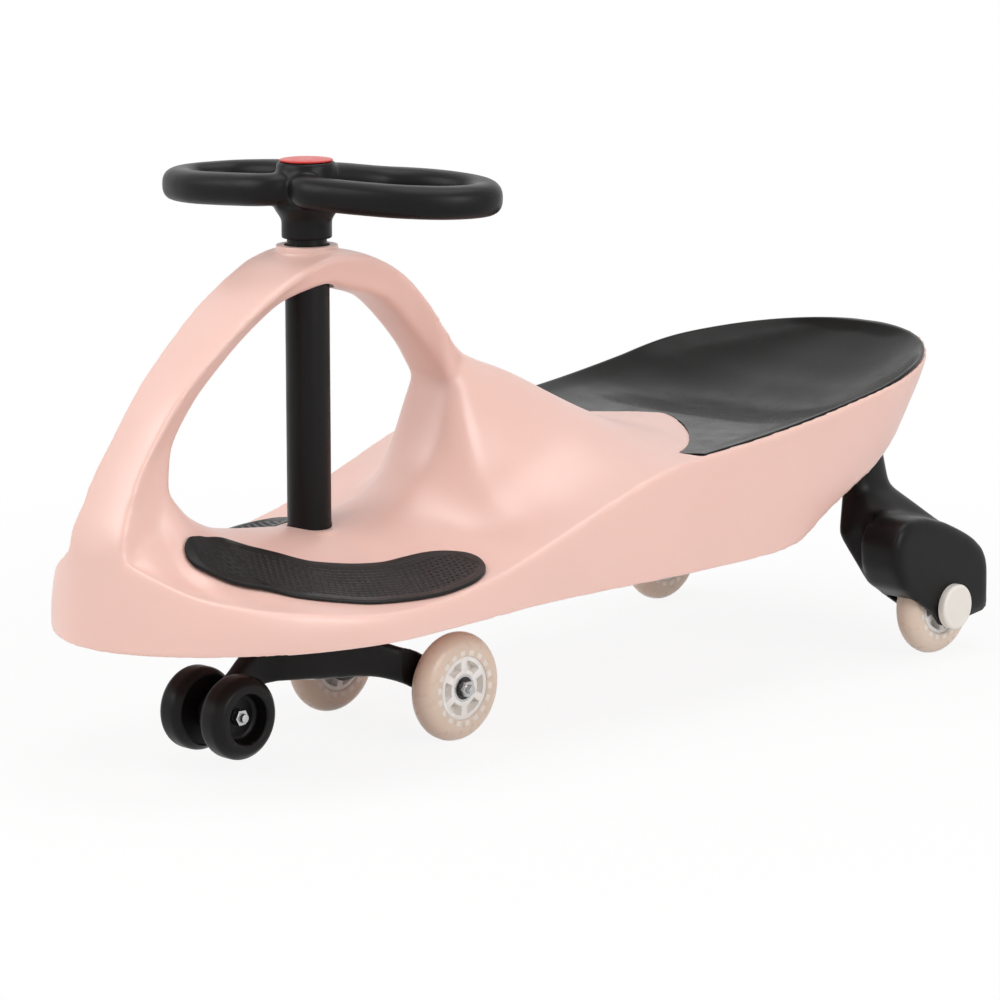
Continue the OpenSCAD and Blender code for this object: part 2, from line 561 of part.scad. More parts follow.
module leg_screws() {
    color(steel)
        for (side = [-1, 1]) for (k = [-1, 1])
            translate([leg_post_x + k * leg_screw_pitch / 2, side * leg_post_y, leg_seat_z - leg_flange[2]]) {
                cylinder(d = leg_screw_d, h = leg_flange[2] + 10);
                translate([0, 0, -3]) cylinder(d = 2 * leg_screw_d, h = 3);
            }
}

// Bolts and nuts along Y
module bolt_y(x, y0, y1, z, head_side) {
    head_t = axle_nut_t - 1;
    translate([x, y0, z]) rotate([-90, 0, 0]) cylinder(d = axle_d, h = y1 - y0);
    translate([x, head_side > 0 ? y1 : y0 - head_t, z]) rotate([-90, 0, 0])
        cylinder(d = axle_nut_af / cos(30), h = head_t, $fn = 6);
}
module nut_y(x, y, z) {
    translate([x, y, z]) rotate([-90, 0, 0])
        difference() {
            cylinder(d = axle_nut_af / cos(30), h = axle_nut_t, $fn = 6);
            translate([0, 0, -1]) cylinder(d = axle_d, h = axle_nut_t + 2);
        }
}
module sleeve_y(x, y0, y1, z, d) {
    translate([x, y0, z]) rotate([-90, 0, 0])
        difference() {
            cylinder(d = d, h = y1 - y0);
            translate([0, 0, -1]) cylinder(d = axle_d + 2 * run_fit, h = y1 - y0 + 2);
        }
}
spacer_d = axle_d + 4;
bearing_out = hub_w / 2;
module both() {
    children();
    mirror([0, 1, 0]) children();
}
module rear_axle_bolts() { color(steel) both() bolt_y(rear_x, leg_in, leg_out + axle_nut_t, axle_z, -1); }
module rear_axle_nuts() { color(steel) both() nut_y(rear_x, leg_out, axle_z); }
module rear_wheel_spacers() {
    color(nylon) both() {
        sleeve_y(rear_x, well_in, rear_half_track - bearing_out, axle_z, spacer_d);
        sleeve_y(rear_x, rear_half_track + bearing_out, well_out, axle_z, spacer_d);
    }
}
cap_depth = axle_nut_t + 1.6;
module rear_axle_cap() {
    color(cream)
        translate([rear_x, leg_out, axle_z]) rotate([-90, 0, 0])
            difference() {
                rotate_extrude() polygon([
                    [0, 0], [axle_boss_d / 2, 0], [axle_boss_d / 2, cap_depth - 1.5],
                    [axle_boss_d / 2 - 1.5, cap_depth], [0, cap_depth]
                ]);
                translate([0, 0, -1]) cylinder(d = axle_nut_af / cos(30) + 0.6, h = axle_nut_t + 1.3);
            }
}
module rear_axle_cap_left() { rear_axle_cap(); }
module rear_axle_cap_right() { mirror([0, 1, 0]) rear_axle_cap(); }

// Steering column and its fastenings
socket_floor = bracket_top - 36;
neck_z = collar_top - 2;
neck_top = rim_z + 5.5;
bolt_d = 8;
bolt_head_af = 13;
bolt_head_t = 5.3;
bolt_grip = 34;
washer_d = 20;
washer_t = 1.6;
hub_floor = neck_top + 5;
module steering_column() {
    color(black)
        difference() {
            union() {
                translate([column_x, 0, socket_floor]) cylinder(d = column_d, h = neck_z - socket_floor);
                translate([column_x, 0, neck_z]) cylinder(d = neck_d, h = neck_top - neck_z);
            }
            translate([column_x, 0, socket_floor - 1]) cylinder(d = bolt_d, h = bolt_grip + 1);
            translate([column_x, 0, neck_top - bolt_grip]) cylinder(d = bolt_d, h = bolt_grip + 1);
        }
}
module bolt_z(z_head, way) {
    translate([column_x, 0, z_head]) mirror([0, 0, way > 0 ? 1 : 0]) {
        translate([0, 0, 0]) cylinder(d = bolt_head_af / cos(30), h = bolt_head_t, $fn = 6);
        translate([0, 0, -bolt_grip]) cylinder(d = bolt_d, h = bolt_grip + 0.01);
    }
}
module washer_z(z) {
    translate([column_x, 0, z])
        difference() {
            cylinder(d = washer_d, h = washer_t);
            translate([0, 0, -1]) cylinder(d = bolt_d, h = washer_t + 2);
        }
}
bracket_floor = socket_floor - 6;
module hub_bolt() { color(steel) bolt_z(hub_floor + washer_t, -1); }
module hub_washer() { color(steel) washer_z(hub_floor); }
module column_bolt() { color(steel) bolt_z(bracket_floor - washer_t, 1); }
module column_washer() { color(steel) washer_z(bracket_floor - washer_t); }
module thrust_washer() {
    color(nylon)
        translate([column_x, 0, bracket_top])
            difference() {
                cylinder(d = boss_d, h = thrust_t - run_fit);
                translate([0, 0, -1]) cylinder(d = column_d + 2 * run_fit, h = thrust_t + 2);
            }
}

// Steering wheel: two loops like a butterfly's wings that meet at the hub
loop_back = 23;
hub_od = 46;
loop_reach = loop_half_l + 6;
sleeve_d = neck_d + 7;
sleeve_z = collar_top + 4.5;
wheel_top = rim_z + 17;
loop_steps = 32;
rim_sides = 12;
// Middle line of a loop, in halves of its depth and length
wing = [
    [1, -0.82], [1, -0.33], [0.8, 0.35], [0.35, 0.84], [-0.28, 1],
    [-0.865, 0.65], [-1, 0.02], [-0.685, -0.57], [-0.056, -0.88], [0.62, -1]
];
function wing_at(u) =
    let (n = len(wing), i = floor(u), w = u - i, a = wing[(i + n - 1) % n], b = wing[i % n],
         c = wing[(i + 1) % n], d = wing[(i + 2) % n])
    0.5 * (2 * b + (c - a) * w + (2 * a - 5 * b + 4 * c - d) * w ^ 2 + (3 * b - a - 3 * c + d) * w ^ 3);
function loop_spot(u) = let (p = wing_at(u)) [loop_half_d * p[0] - loop_back, loop_reach + loop_half_l * p[1]];
function squared(v) = sign(v) * abs(v) ^ 0.78;
module rim_loop() {
    n = len(wing);
    rings = [for (k = [0 : loop_steps - 1])
        let (u = n * k / loop_steps, p = loop_spot(u), d = loop_spot(u + 0.05) - loop_spot(u + n - 0.05), e = d / norm(d))
        [for (i = [0 : rim_sides - 1])
            let (b = 360 * i / rim_sides, r = rim_w / 2 * squared(cos(b)))
            [p[0] + e[1] * r, p[1] - e[0] * r, rim_h / 2 * squared(sin(b))]]];
    points = [for (r = rings) for (p = r) p];
    faces = [for (k = [0 : loop_steps - 1]) for (i = [0 : rim_sides - 1])
        let (k2 = (k + 1) % loop_steps, i2 = (i + 1) % rim_sides)
        for (f = [[k * rim_sides + i, k2 * rim_sides + i2, k2 * rim_sides + i],
                  [k * rim_sides + i, k * rim_sides + i2, k2 * rim_sides + i2]]) f];
    polyhedron(points, faces, convexity = 6);
}
module steering_wheel() {
    color(black)
        difference() {
            union() {
                translate([column_x, 0, rim_z]) rotate([0, 0, wheel_set]) {
                    rim_loop();
                    mirror([0, 1, 0]) rim_loop();
                }
                translate([column_x, 0, rim_z - rim_h / 2 - 1]) cylinder(d = hub_od, h = wheel_top - rim_z + rim_h / 2 + 1);
                translate([column_x, 0, sleeve_z]) cylinder(d = sleeve_d, h = rim_z - sleeve_z);
            }
            translate([column_x, 0, sleeve_z - 1]) cylinder(d = neck_d + 2 * run_fit, h = neck_top - sleeve_z + 1 + run_fit);
            translate([column_x, 0, neck_top - 1]) cylinder(d = bolt_d + 2 * run_fit, h = 20);
            translate([column_x, 0, hub_floor]) cylinder(d = washer_d + 4, h = 20);
        }
}
cap_t = 5;
module hub_cap() {
    color(red)
        translate([column_x, 0, wheel_top]) {
            rotate_extrude() polygon([
                [0, 2], [washer_d / 2, 2], [washer_d / 2, 0], [cap_d / 2, 0], [cap_d / 2, cap_t * 0.4],
                [cap_d / 2 - 2, cap_t * 0.7], [cap_d / 4, cap_t], [0, cap_t]
            ]);
            translate([0, 0, -2.5])
                difference() {
                    cylinder(d = washer_d + 4 - 2 * lay_gap, h = 2.6);
                    translate([0, 0, -1]) cylinder(d = washer_d, h = 5);
                }
        }
}

// Front bracket: two arms from the safety axle past the column to the road wheels
arm_out = front_half_track - tyre_w / 2 - 2;
arm_t = 10;
nose_boss_half = 8;
bracket_hub_d = column_d + 18;
arm_rows = [
    [safety_x + 2, 4, safety_z, 11, 4], [safety_x - 16, 4, safety_z + 14, 14, 4],
    [safety_x - 33, 4.3, safety_z + 26, 15, 4.2], [column_x + 42, 12.5, safety_z + 29.5, 16, 4.6],
    [column_x + 24, 21, bracket_top - 26, 18, 5],
    [column_x, 27, bracket_top - 27, 19, 5], [column_x - 29, 35, axle_z + 24, 14.5, 5],
    [column_x - 56, arm_out - arm_t / 2, axle_z + 12.5, 13.5, 5],
    [front_x, arm_out - arm_t / 2, axle_z + 1, 13, 5], [front_x - 10, arm_out - arm_t / 2, axle_z - 2, 9, 5]
];
arm_steps = 18;
function arm_value(k, u) = curve([for (i = [0 : len(arm_rows) - 1]) [i, arm_rows[i][k]]], u);
module bracket_arm() {
    chamfer = 2;
    rings = [for (j = [0 : arm_steps])
        let (u = j * (len(arm_rows) - 1) / arm_steps, x = arm_value(0, u), y = arm_value(1, u),
             z = arm_value(2, u), h = arm_value(3, u), t = arm_value(4, u), c = chamfer)
        [[x, y - t, z - h + c], [x, y - t + c, z - h], [x, y + t - c, z - h], [x, y + t, z - h + c],
         [x, y + t, z + h - c], [x, y + t - c, z + h], [x, y - t + c, z + h], [x, y - t, z + h - c]]];
    n = 8;
    points = [for (r = rings) for (p = r) p];
    sides = [for (j = [0 : arm_steps - 1]) for (i = [0 : n - 1])
        let (k = (i + 1) % n)
        for (f = [[j * n + i, (j + 1) * n + k, (j + 1) * n + i], [j * n + i, j * n + k, (j + 1) * n + k]]) f];
    caps = [[for (i = [n - 1 : -1 : 0]) i], [for (i = [0 : n - 1]) arm_steps * n + i]];
    polyhedron(points, concat(sides, caps), convexity = 4);
}
module front_bracket() {
    color(black)
        difference() {
            union() {
                both() bracket_arm();
                translate([column_x, 0, bracket_floor]) cylinder(d = bracket_hub_d, h = bracket_top - bracket_floor);
                translate([safety_x, nose_boss_half, safety_z]) rotate([90, 0, 0])
                    cylinder(d = 24, h = 2 * nose_boss_half);
                both() translate([front_x, arm_out - arm_t, axle_z]) rotate([-90, 0, 0]) cylinder(d = 28, h = arm_t);
            }
            translate([column_x, 0, socket_floor]) cylinder(d = column_d + 2 * run_fit, h = 60);
            translate([column_x, 0, bracket_floor - 20]) cylinder(d = bolt_d + 2 * run_fit, h = 60);
            translate([column_x, 0, bracket_floor - 20]) cylinder(d = bracket_hub_d - 8, h = 20);
            translate([safety_x, nose_boss_half + 1, safety_z]) rotate([90, 0, 0])
                cylinder(d = axle_d, h = 2 * nose_boss_half + 2);
            both() translate([front_x, arm_out - arm_t - 1, axle_z]) rotate([-90, 0, 0])
                cylinder(d = axle_d, h = arm_t + 2);
        }
}
front_bolt_end = front_half_track + bearing_out + axle_nut_t + 3;
module front_axle_bolts() { color(steel) both() bolt_y(front_x, arm_out - arm_t, front_bolt_end, axle_z, -1); }
module front_axle_nuts() { color(steel) both() nut_y(front_x, front_half_track + bearing_out, axle_z); }
module front_wheel_spacers() {
    color(nylon) both() sleeve_y(front_x, arm_out, front_half_track - bearing_out, axle_z, spacer_d);
}

// Safety wheels, deep-dished on the outer side
safety_in = nose_boss_half + 1;
safety_web = 10;
safety_dish_d = 34;
module safety_wheel() {
    color(black)
        translate([safety_x, safety_in, safety_z]) rotate([-90, 0, 0])
            difference() {
                rotate_extrude() polygon([
                    [0, 0], [safety_d / 2 - 4, 0], [safety_d / 2, 4], [safety_d / 2, safety_w - 4],
                    [safety_d / 2 - 4, safety_w], [0, safety_w]
                ]);
                translate([0, 0, safety_web]) cylinder(d = safety_dish_d, h = safety_w);
                translate([0, 0, -1]) cylinder(d = axle_d + 2 * run_fit, h = safety_w);
            }
}
module safety_wheel_left() { safety_wheel(); }
module safety_wheel_right() { mirror([0, 1, 0]) safety_wheel(); }
safety_face = safety_in + safety_web + lay_gap;
module safety_axle_bolt() {
    color(steel) bolt_y(safety_x, -safety_face, safety_face + axle_nut_t + 3, safety_z, -1);
}
module safety_axle_nut() { color(steel) nut_y(safety_x, safety_face, safety_z); }

// Road wheels, built about their axle
lug_count = 16;
lug_reach = 5;
lug_w = 8;
pocket_count = 6;
hub_core_d = bearing_d + 6;
module wheel_at(x, y) { translate([x, y, axle_z]) rotate([-90, 0, 0]) children(); }
module hub_outside() {
    cylinder(d = hub_d, h = hub_w, center = true);
    for (k = [0 : lug_count - 1])
        rotate([0, 0, 360 * k / lug_count])
            translate([hub_d / 2 - 1, -2.2, -lug_w / 2]) cube([lug_reach + 1, 4.4, lug_w]);
}
module tyre() {
    crown = tyre_w / 2;
    color(tyre_colour)
        difference() {
            rotate_extrude() {
                translate([axle_z - crown, 0]) circle(r = crown);
                translate([hub_d / 2 - 1, -crown]) square([axle_z - crown - hub_d / 2 + 1, tyre_w]);
            }
            hub_outside();
            cylinder(d = hub_d, h = tyre_w + 2, center = true);
        }
}
module hub() {
    ring_in = hub_d / 2 - 3;
    core = hub_core_d / 2;
    web = 4;
    color(hub_colour)
        difference() {
            hub_outside();
            for (k = [0 : pocket_count - 1]) for (s = [-1, 1])
                rotate([0, 0, 360 * k / pocket_count])
                    translate([0, 0, s > 0 ? web / 2 : -web / 2 - hub_w])
                        intersection() {
                            difference() {
                                cylinder(r = ring_in, h = hub_w);
                                cylinder(r = core, h = hub_w);
                            }
                            translate([0, 0, 0]) linear_extrude(hub_w)
                                polygon([[core * 0.8, -3.4], [ring_in + 2, -8.6], [ring_in + 2, 8.6], [core * 0.8, 3.4]]);
                        }
            for (s = [-1, 1])
                translate([0, 0, s > 0 ? hub_w / 2 - bearing_w : -hub_w / 2 - 1]) cylinder(d = bearing_d, h = bearing_w + 1);
            cylinder(d = bearing_d - 4, h = hub_w + 2, center = true);
        }
}
module bearings() {
    color(steel)
        for (s = [-1, 1])
            translate([0, 0, s > 0 ? hub_w / 2 - bearing_w : -hub_w / 2])
                difference() {
                    cylinder(d = bearing_d, h = bearing_w);
                    translate([0, 0, -1]) cylinder(d = axle_d + 2 * run_fit, h = bearing_w + 2);
                }
}
module bearing_spacer() {
    color(steel)
        difference() {
            cylinder(d = spacer_d, h = hub_w - 2 * bearing_w, center = true);
            cylinder(d = axle_d + 2 * run_fit, h = hub_w, center = true);
        }
}
module front_tyre_left() { wheel_at(front_x, front_half_track) tyre(); }
module front_hub_left() { wheel_at(front_x, front_half_track) hub(); }
module front_bearings_left() { wheel_at(front_x, front_half_track) bearings(); }
module front_bearing_spacer_left() { wheel_at(front_x, front_half_track) bearing_spacer(); }
module front_tyre_right() { wheel_at(front_x, -front_half_track) tyre(); }
module front_hub_right() { wheel_at(front_x, -front_half_track) hub(); }
module front_bearings_right() { wheel_at(front_x, -front_half_track) bearings(); }
module front_bearing_spacer_right() { wheel_at(front_x, -front_half_track) bearing_spacer(); }
module rear_tyre_left() { wheel_at(rear_x, rear_half_track) tyre(); }
module rear_hub_left() { wheel_at(rear_x, rear_half_track) hub(); }
module rear_bearings_left() { wheel_at(rear_x, rear_half_track) bearings(); }
module rear_bearing_spacer_left() { wheel_at(rear_x, rear_half_track) bearing_spacer(); }
module rear_tyre_right() { wheel_at(rear_x, -rear_half_track) tyre(); }
module rear_hub_right() { wheel_at(rear_x, -rear_half_track) hub(); }
module rear_bearings_right() { wheel_at(rear_x, -rear_half_track) bearings(); }
module rear_bearing_spacer_right() { wheel_at(rear_x, -rear_half_track) bearing_spacer(); }

body_shell();
seat_pad();
foot_pad_left();
foot_pad_right();
upper_bush();
lower_bush();
rear_leg_left();
rear_leg_right();
leg_screws();
rear_axle_bolts();
rear_axle_nuts();
rear_axle_cap_left();
rear_axle_cap_right();
rear_wheel_spacers();
steering_wheel();
hub_cap();
hub_bolt();
hub_washer();
steering_column();
column_bolt();
column_washer();
thrust_washer();
front_bracket();
front_axle_bolts();
front_axle_nuts();
front_wheel_spacers();
safety_axle_bolt();
safety_axle_nut();
front_tyre_left();
front_hub_left();
front_bearings_left();
front_bearing_spacer_left();
front_tyre_right();
front_hub_right();
front_bearings_right();
front_bearing_spacer_right();
rear_tyre_left();
rear_hub_left();
rear_bearings_left();
rear_bearing_spacer_left();
rear_tyre_right();
rear_hub_right();
rear_bearings_right();
rear_bearing_spacer_right();
safety_wheel_left();
safety_wheel_right();
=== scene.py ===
"""Looks of a ride-on swing car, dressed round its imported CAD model.

Every piece is built in metres in the frame of the CAD model. X runs from the tail to the nose,
Y to the left of the rider and Z up. Shapes are worked out in millimetres and scaled once.
"""

from contextlib import contextmanager
import math

import bmesh
import bpy
import numpy as np
from mathutils import Matrix, Vector


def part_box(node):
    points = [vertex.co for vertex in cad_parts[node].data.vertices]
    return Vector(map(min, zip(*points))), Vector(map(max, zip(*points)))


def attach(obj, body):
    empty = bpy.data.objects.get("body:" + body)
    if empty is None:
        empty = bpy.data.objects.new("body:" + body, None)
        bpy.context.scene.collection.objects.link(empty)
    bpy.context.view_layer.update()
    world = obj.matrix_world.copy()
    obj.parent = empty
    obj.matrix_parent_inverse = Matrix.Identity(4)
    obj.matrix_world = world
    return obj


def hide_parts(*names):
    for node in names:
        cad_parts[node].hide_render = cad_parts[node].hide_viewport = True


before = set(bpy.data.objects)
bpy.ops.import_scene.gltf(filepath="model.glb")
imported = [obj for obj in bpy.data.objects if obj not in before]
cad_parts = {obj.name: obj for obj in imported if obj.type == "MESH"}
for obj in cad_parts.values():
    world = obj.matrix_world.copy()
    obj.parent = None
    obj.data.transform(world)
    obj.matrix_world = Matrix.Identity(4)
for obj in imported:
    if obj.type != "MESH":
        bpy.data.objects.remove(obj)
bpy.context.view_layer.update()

bl_info = {
    "name": "Swing car dresser",
    "version": (1, 0, 0),
    "blender": (4, 5, 0),
    "location": "View3D > Sidebar > Swing car",
    "description": "Builds the visible pieces of a ride-on swing car round its CAD model",
    "category": "Object",
}

MM = 0.001


# Colour

def linear(code):
    """Linear RGB of an sRGB hex colour."""
    parts = [int(code[i:i + 2], 16) / 255 for i in (1, 3, 5)]
    return tuple(c / 12.92 if c <= 0.04045 else ((c + 0.055) / 1.055) ** 2.4 for c in parts)


def mixed(colour, other, share):
    """Colour moved towards another by a share."""
    return tuple(a + (b - a) * share for a, b in zip(colour, other))


WHITE = linear("#FFFFFF")


# Places taken from the frame, in millimetres

def middle(node):
    lo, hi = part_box(node)
    return (lo + hi) / 2 / MM


def low(node):
    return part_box(node)[0] / MM


def high(node):
    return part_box(node)[1] / MM


COLUMN_X = middle("steering_column").x
NOSE_X = high("body_shell").x
TAIL_X = low("body_shell").x - 0.6
HEM_Z = low("body_shell").z
COLLAR_TOP = high("body_shell").z
ARCH_Z = COLLAR_TOP - 4
REAR_X = middle("rear_hub_left").x
AXLE_Z = middle("front_hub_left").z
SAFETY_X = middle("safety_wheel_left").x
SAFETY_Z = middle("safety_wheel_left").z
RIM_Z = (low("hub_cap").z + 2.5) - 17
DECK_Z = HEM_Z + 53
TAIL_RIM_Z = HEM_Z + 127
DECK_HALF = 131
SEAT_HALF = 128
SEAT_LIP = 4
WALL = 4.5
TONGUE = 103
BODY_BORE_R = 18.05
COLUMN_GAP_R = 15.5
COLLAR_R = 20.5
BOSS_R = 23
COLUMN_R = 15
SPIGOT_R = 13.5
BUSH_R = 18
FLANGE_R = 23
BOLT_BORE_R = 4
AXLE_BORE_R = 3.05
RUNNING_GAP = 0.05
# Small radii that stand for the axis in a turned form
ON_AXIS = 0.01
PINHOLE_R = 0.05
ROUND = 96


# Sizes and colours that a user may change

class SwingCarSizes(bpy.types.PropertyGroup):
    mat_thickness: bpy.props.FloatProperty(
        name="Seat mat", description="Thickness of the seat mat", default=4 * MM, unit="LENGTH")
    foot_thickness: bpy.props.FloatProperty(
        name="Foot pad", description="Thickness of a foot pad", default=2.3 * MM, unit="LENGTH")
    dimple_pitch: bpy.props.FloatProperty(
        name="Dimple pitch", description="Distance between the foot pad's dimples",
        default=4.8 * MM, unit="LENGTH")
    dimple_size: bpy.props.FloatProperty(
        name="Dimple", description="Diameter of a foot pad's dimple", default=2.4 * MM, unit="LENGTH")
    rim_width: bpy.props.FloatProperty(
        name="Rim width", description="Width of the steering wheel's rim",
        default=23 * MM, unit="LENGTH")
    rim_height: bpy.props.FloatProperty(
        name="Rim height", description="Height of the steering wheel's rim",
        default=22 * MM, unit="LENGTH")
    body_voxel: bpy.props.FloatProperty(
        name="Body fineness", description="Voxel size that fuses the body",
        default=1.7 * MM, unit="LENGTH")
    small_voxel: bpy.props.FloatProperty(
        name="Part fineness", description="Voxel size that fuses the smaller mouldings",
        default=1.3 * MM, unit="LENGTH")


class SwingCarColours(bpy.types.PropertyGroup):
    body: bpy.props.FloatVectorProperty(
        name="Body", description="Colour of the moulded body",
        default=linear("#EFC4B8"), subtype="COLOR")
    seat: bpy.props.FloatVectorProperty(
        name="Seat", description="Colour of the seat mat", default=linear("#161413"), subtype="COLOR")
    foot: bpy.props.FloatVectorProperty(
        name="Foot pads", description="Colour of the foot pads",
        default=linear("#141211"), subtype="COLOR")
    black: bpy.props.FloatVectorProperty(
        name="Black plastic", description="Colour of the wheel, column, bracket and legs",
        default=linear("#110F0F"), subtype="COLOR")
    cap: bpy.props.FloatVectorProperty(
        name="Wheel cap", description="Colour of the steering wheel's cap",
        default=linear("#CE302B"), subtype="COLOR")
    axle_cap: bpy.props.FloatVectorProperty(
        name="Axle caps", description="Colour of the rear axle caps",
        default=linear("#EDE7DF"), subtype="COLOR")
    tyre: bpy.props.FloatVectorProperty(
        name="Tyres", description="Colour of the tyres", default=linear("#E3CFBE"), subtype="COLOR")
    hub: bpy.props.FloatVectorProperty(
        name="Hubs", description="Colour of the wheel hubs", default=linear("#F3EEE9"), subtype="COLOR")
    steel: bpy.props.FloatVectorProperty(
        name="Steel", description="Colour of bolts, nuts and bearings",
        default=linear("#C6C7C9"), subtype="COLOR")
    bush: bpy.props.FloatVectorProperty(
        name="Bushes", description="Colour of the nylon bushes and spacers",
        default=linear("#191716"), subtype="COLOR")


class SwingCarStage(bpy.types.PropertyGroup):
    key_power: bpy.props.FloatProperty(
        name="Key light", description="Power of the large soft light", default=25.5, unit="POWER")
    top_power: bpy.props.FloatProperty(
        name="Top light", description="Power of the light above", default=21.0, unit="POWER")
    side_power: bpy.props.FloatProperty(
        name="Side light", description="Power of the light to the right of the camera",
        default=28.0, unit="POWER")
    sky: bpy.props.FloatProperty(
        name="Room light", description="Strength of the even light from all round", default=0.3)
    lens: bpy.props.FloatProperty(
        name="Lens", description="Focal length of the camera in millimetres", default=151.2)


def sizes():
    return bpy.context.scene.swing_car_sizes


def colours():
    return bpy.context.scene.swing_car_colours


# Nodes and materials

def node(tree, kind, sockets=None, **settings):
    """Adds one node. Settings are its properties; a socket value that is itself a socket is linked."""
    made = tree.nodes.new(kind)
    for key, value in settings.items():
        setattr(made, key, value)
    for key, value in (sockets or {}).items():
        if isinstance(value, bpy.types.NodeSocket):
            tree.links.new(value, made.inputs[key])
        else:
            made.inputs[key].default_value = value
    return made


def per_metre(size_mm):
    """Scale of a pattern whose features repeat at a size in millimetres."""
    return 1000 / size_mm


def rgba(colour):
    return (colour[0], colour[1], colour[2], 1)


def bare_tree(holder):
    """Node tree of a material or world, emptied."""
    holder.use_nodes = True
    holder.node_tree.nodes.clear()
    return holder.node_tree


def new_material(name):
    """Material with its tree, object coordinates, shader and output."""
    made = bpy.data.materials.new(name)
    tree = bare_tree(made)
    place = node(tree, "ShaderNodeTexCoord").outputs["Object"]
    shader = node(tree, "ShaderNodeBsdfPrincipled")
    node(tree, "ShaderNodeOutputMaterial", {"Surface": shader.outputs["BSDF"]})
    return made, tree, place, shader


def moulded(name, colour, rough, mottle_mm, grain_mm, grain_depth_mm, edge=None, spread=0.05,
            specular=0.5, sockets=None):
    """Moulded plastic or rubber: faint clouding of colour, uneven gloss and a fine grain.

    Edge holds the colour painted on convex edges, part wear and part painted highlight, and its share.
    Sockets holds values for the shader.
    """
    made, tree, place, shader = new_material(name)
    black = (0, 0, 0)
    cloud = node(tree, "ShaderNodeTexNoise", {
        "Vector": place, "Scale": per_metre(mottle_mm), "Detail": 3.0})
    last = node(tree, "ShaderNodeMix", {
        "Factor": cloud.outputs["Fac"], "A": rgba(mixed(colour, black, spread)),
        "B": rgba(mixed(colour, black, -spread * 0.6))}, data_type="RGBA").outputs["Result"]
    if edge:
        # Convex edges are painted lighter by pointiness: part wear, part painted highlight
        curve = node(tree, "ShaderNodeNewGeometry").outputs["Pointiness"]
        worn_and_lit_edge = node(tree, "ShaderNodeMapRange", {
            "Value": curve, "From Min": 0.53, "From Max": 0.64, "To Min": 0.0, "To Max": edge[1]})
        last = node(tree, "ShaderNodeMix", {
            "Factor": worn_and_lit_edge.outputs["Result"], "A": last, "B": rgba(edge[0])},
            data_type="RGBA").outputs["Result"]
    tree.links.new(last, shader.inputs["Base Color"])
    gloss = node(tree, "ShaderNodeTexNoise", {
        "Vector": place, "Scale": per_metre(mottle_mm * 0.4), "Detail": 4.0})
    sheen = node(tree, "ShaderNodeMapRange", {
        "Value": gloss.outputs["Fac"], "From Min": 0.3, "From Max": 0.7,
        "To Min": rough - 0.05, "To Max": rough + 0.05})
    tree.links.new(sheen.outputs["Result"], shader.inputs["Roughness"])
    # A mould's real grain is near 0.2 mm; it is drawn at grain_mm so that it shows at this distance
    grain = node(tree, "ShaderNodeTexNoise", {
        "Vector": place, "Scale": per_metre(grain_mm), "Detail": 2.0})
    bump = node(tree, "ShaderNodeBump", {
        "Height": grain.outputs["Fac"], "Strength": 0.6, "Distance": grain_depth_mm * MM})
    tree.links.new(bump.outputs["Normal"], shader.inputs["Normal"])
    values = {"IOR": 1.49, "Specular IOR Level": specular, **(sockets or {})}
    for key, value in values.items():
        shader.inputs[key].default_value = value
    return made, shader


def body_plastic():
    """Polypropylene, moulded in a matt tool: an even satin that glows softly in its own colour."""
    pink = colours().body
    # Creases are painted paler pink: a painted highlight with a little wear
    return moulded(
        "polypropylene_pale_pink", pink, 0.38, 70, 1.1, 0.02,
        (mixed(pink, WHITE, 0.5), 0.12), 0.025, 0.9, {
            "Subsurface Weight": 0.12, "Subsurface Radius": (1.0, 0.45, 0.3), "Subsurface Scale": 4 * MM,
            "Sheen Weight": 0.12, "Sheen Roughness": 0.4})[0]


def seat_rubber():
    """Thermoplastic rubber, moulded: dull charcoal with a broad soft sheen where it bends."""
    return moulded(
        "thermoplastic_rubber_charcoal", colours().seat, 0.24, 45, 1.4, 0.02, None, 0.1, 0.11, {
            "Sheen Weight": 0.03, "Sheen Roughness": 0.45})[0]


def foot_rubber():
    """Moulded black rubber: satin, with the rims of its border and dimples painted lighter, part wear and
    part painted highlight.
    """
    # Rims painted lighter: part wear, part painted highlight
    return moulded(
        "moulded_rubber_black", colours().foot, 0.36, 22, 1.0, 0.02,
        (linear("#3A3635"), 0.3), 0.12, 0.22)[0]


def black_plastic():
    """Polypropylene, moulded black: deep satin with long soft highlights, and edges painted faintly
    lighter, part scuff and part painted highlight.
    """
    # Edges painted faintly lighter: part scuff, part painted highlight
    return moulded(
        "polypropylene_black", colours().black, 0.38, 40, 0.9, 0.015,
        (linear("#2E2B2A"), 0.3), 0.12, 0.18)[0]


def red_plastic():
    """ABS, moulded red and polished: clean colour with a tight highlight."""
    red = colours().cap
    # Edges painted paler: part wear, part painted highlight
    return moulded("abs_red", red, 0.3, 18, 0.9, 0.006, (mixed(red, WHITE, 0.3), 0.3), 0.04, 0.3)[0]


def axle_cap_plastic():
    """ABS, moulded cream white: soft gloss, a little yellowed."""
    # Edges painted white: part wear, part painted highlight
    return moulded("abs_cream", colours().axle_cap, 0.36, 15, 0.8, 0.006, (WHITE, 0.3), 0.03)[0]


def bush_nylon():
    """Nylon, moulded black: dull and slightly waxy."""
    return moulded("nylon_black", colours().bush, 0.5, 12, 0.7, 0.008, None, 0.06, 0.15)[0]


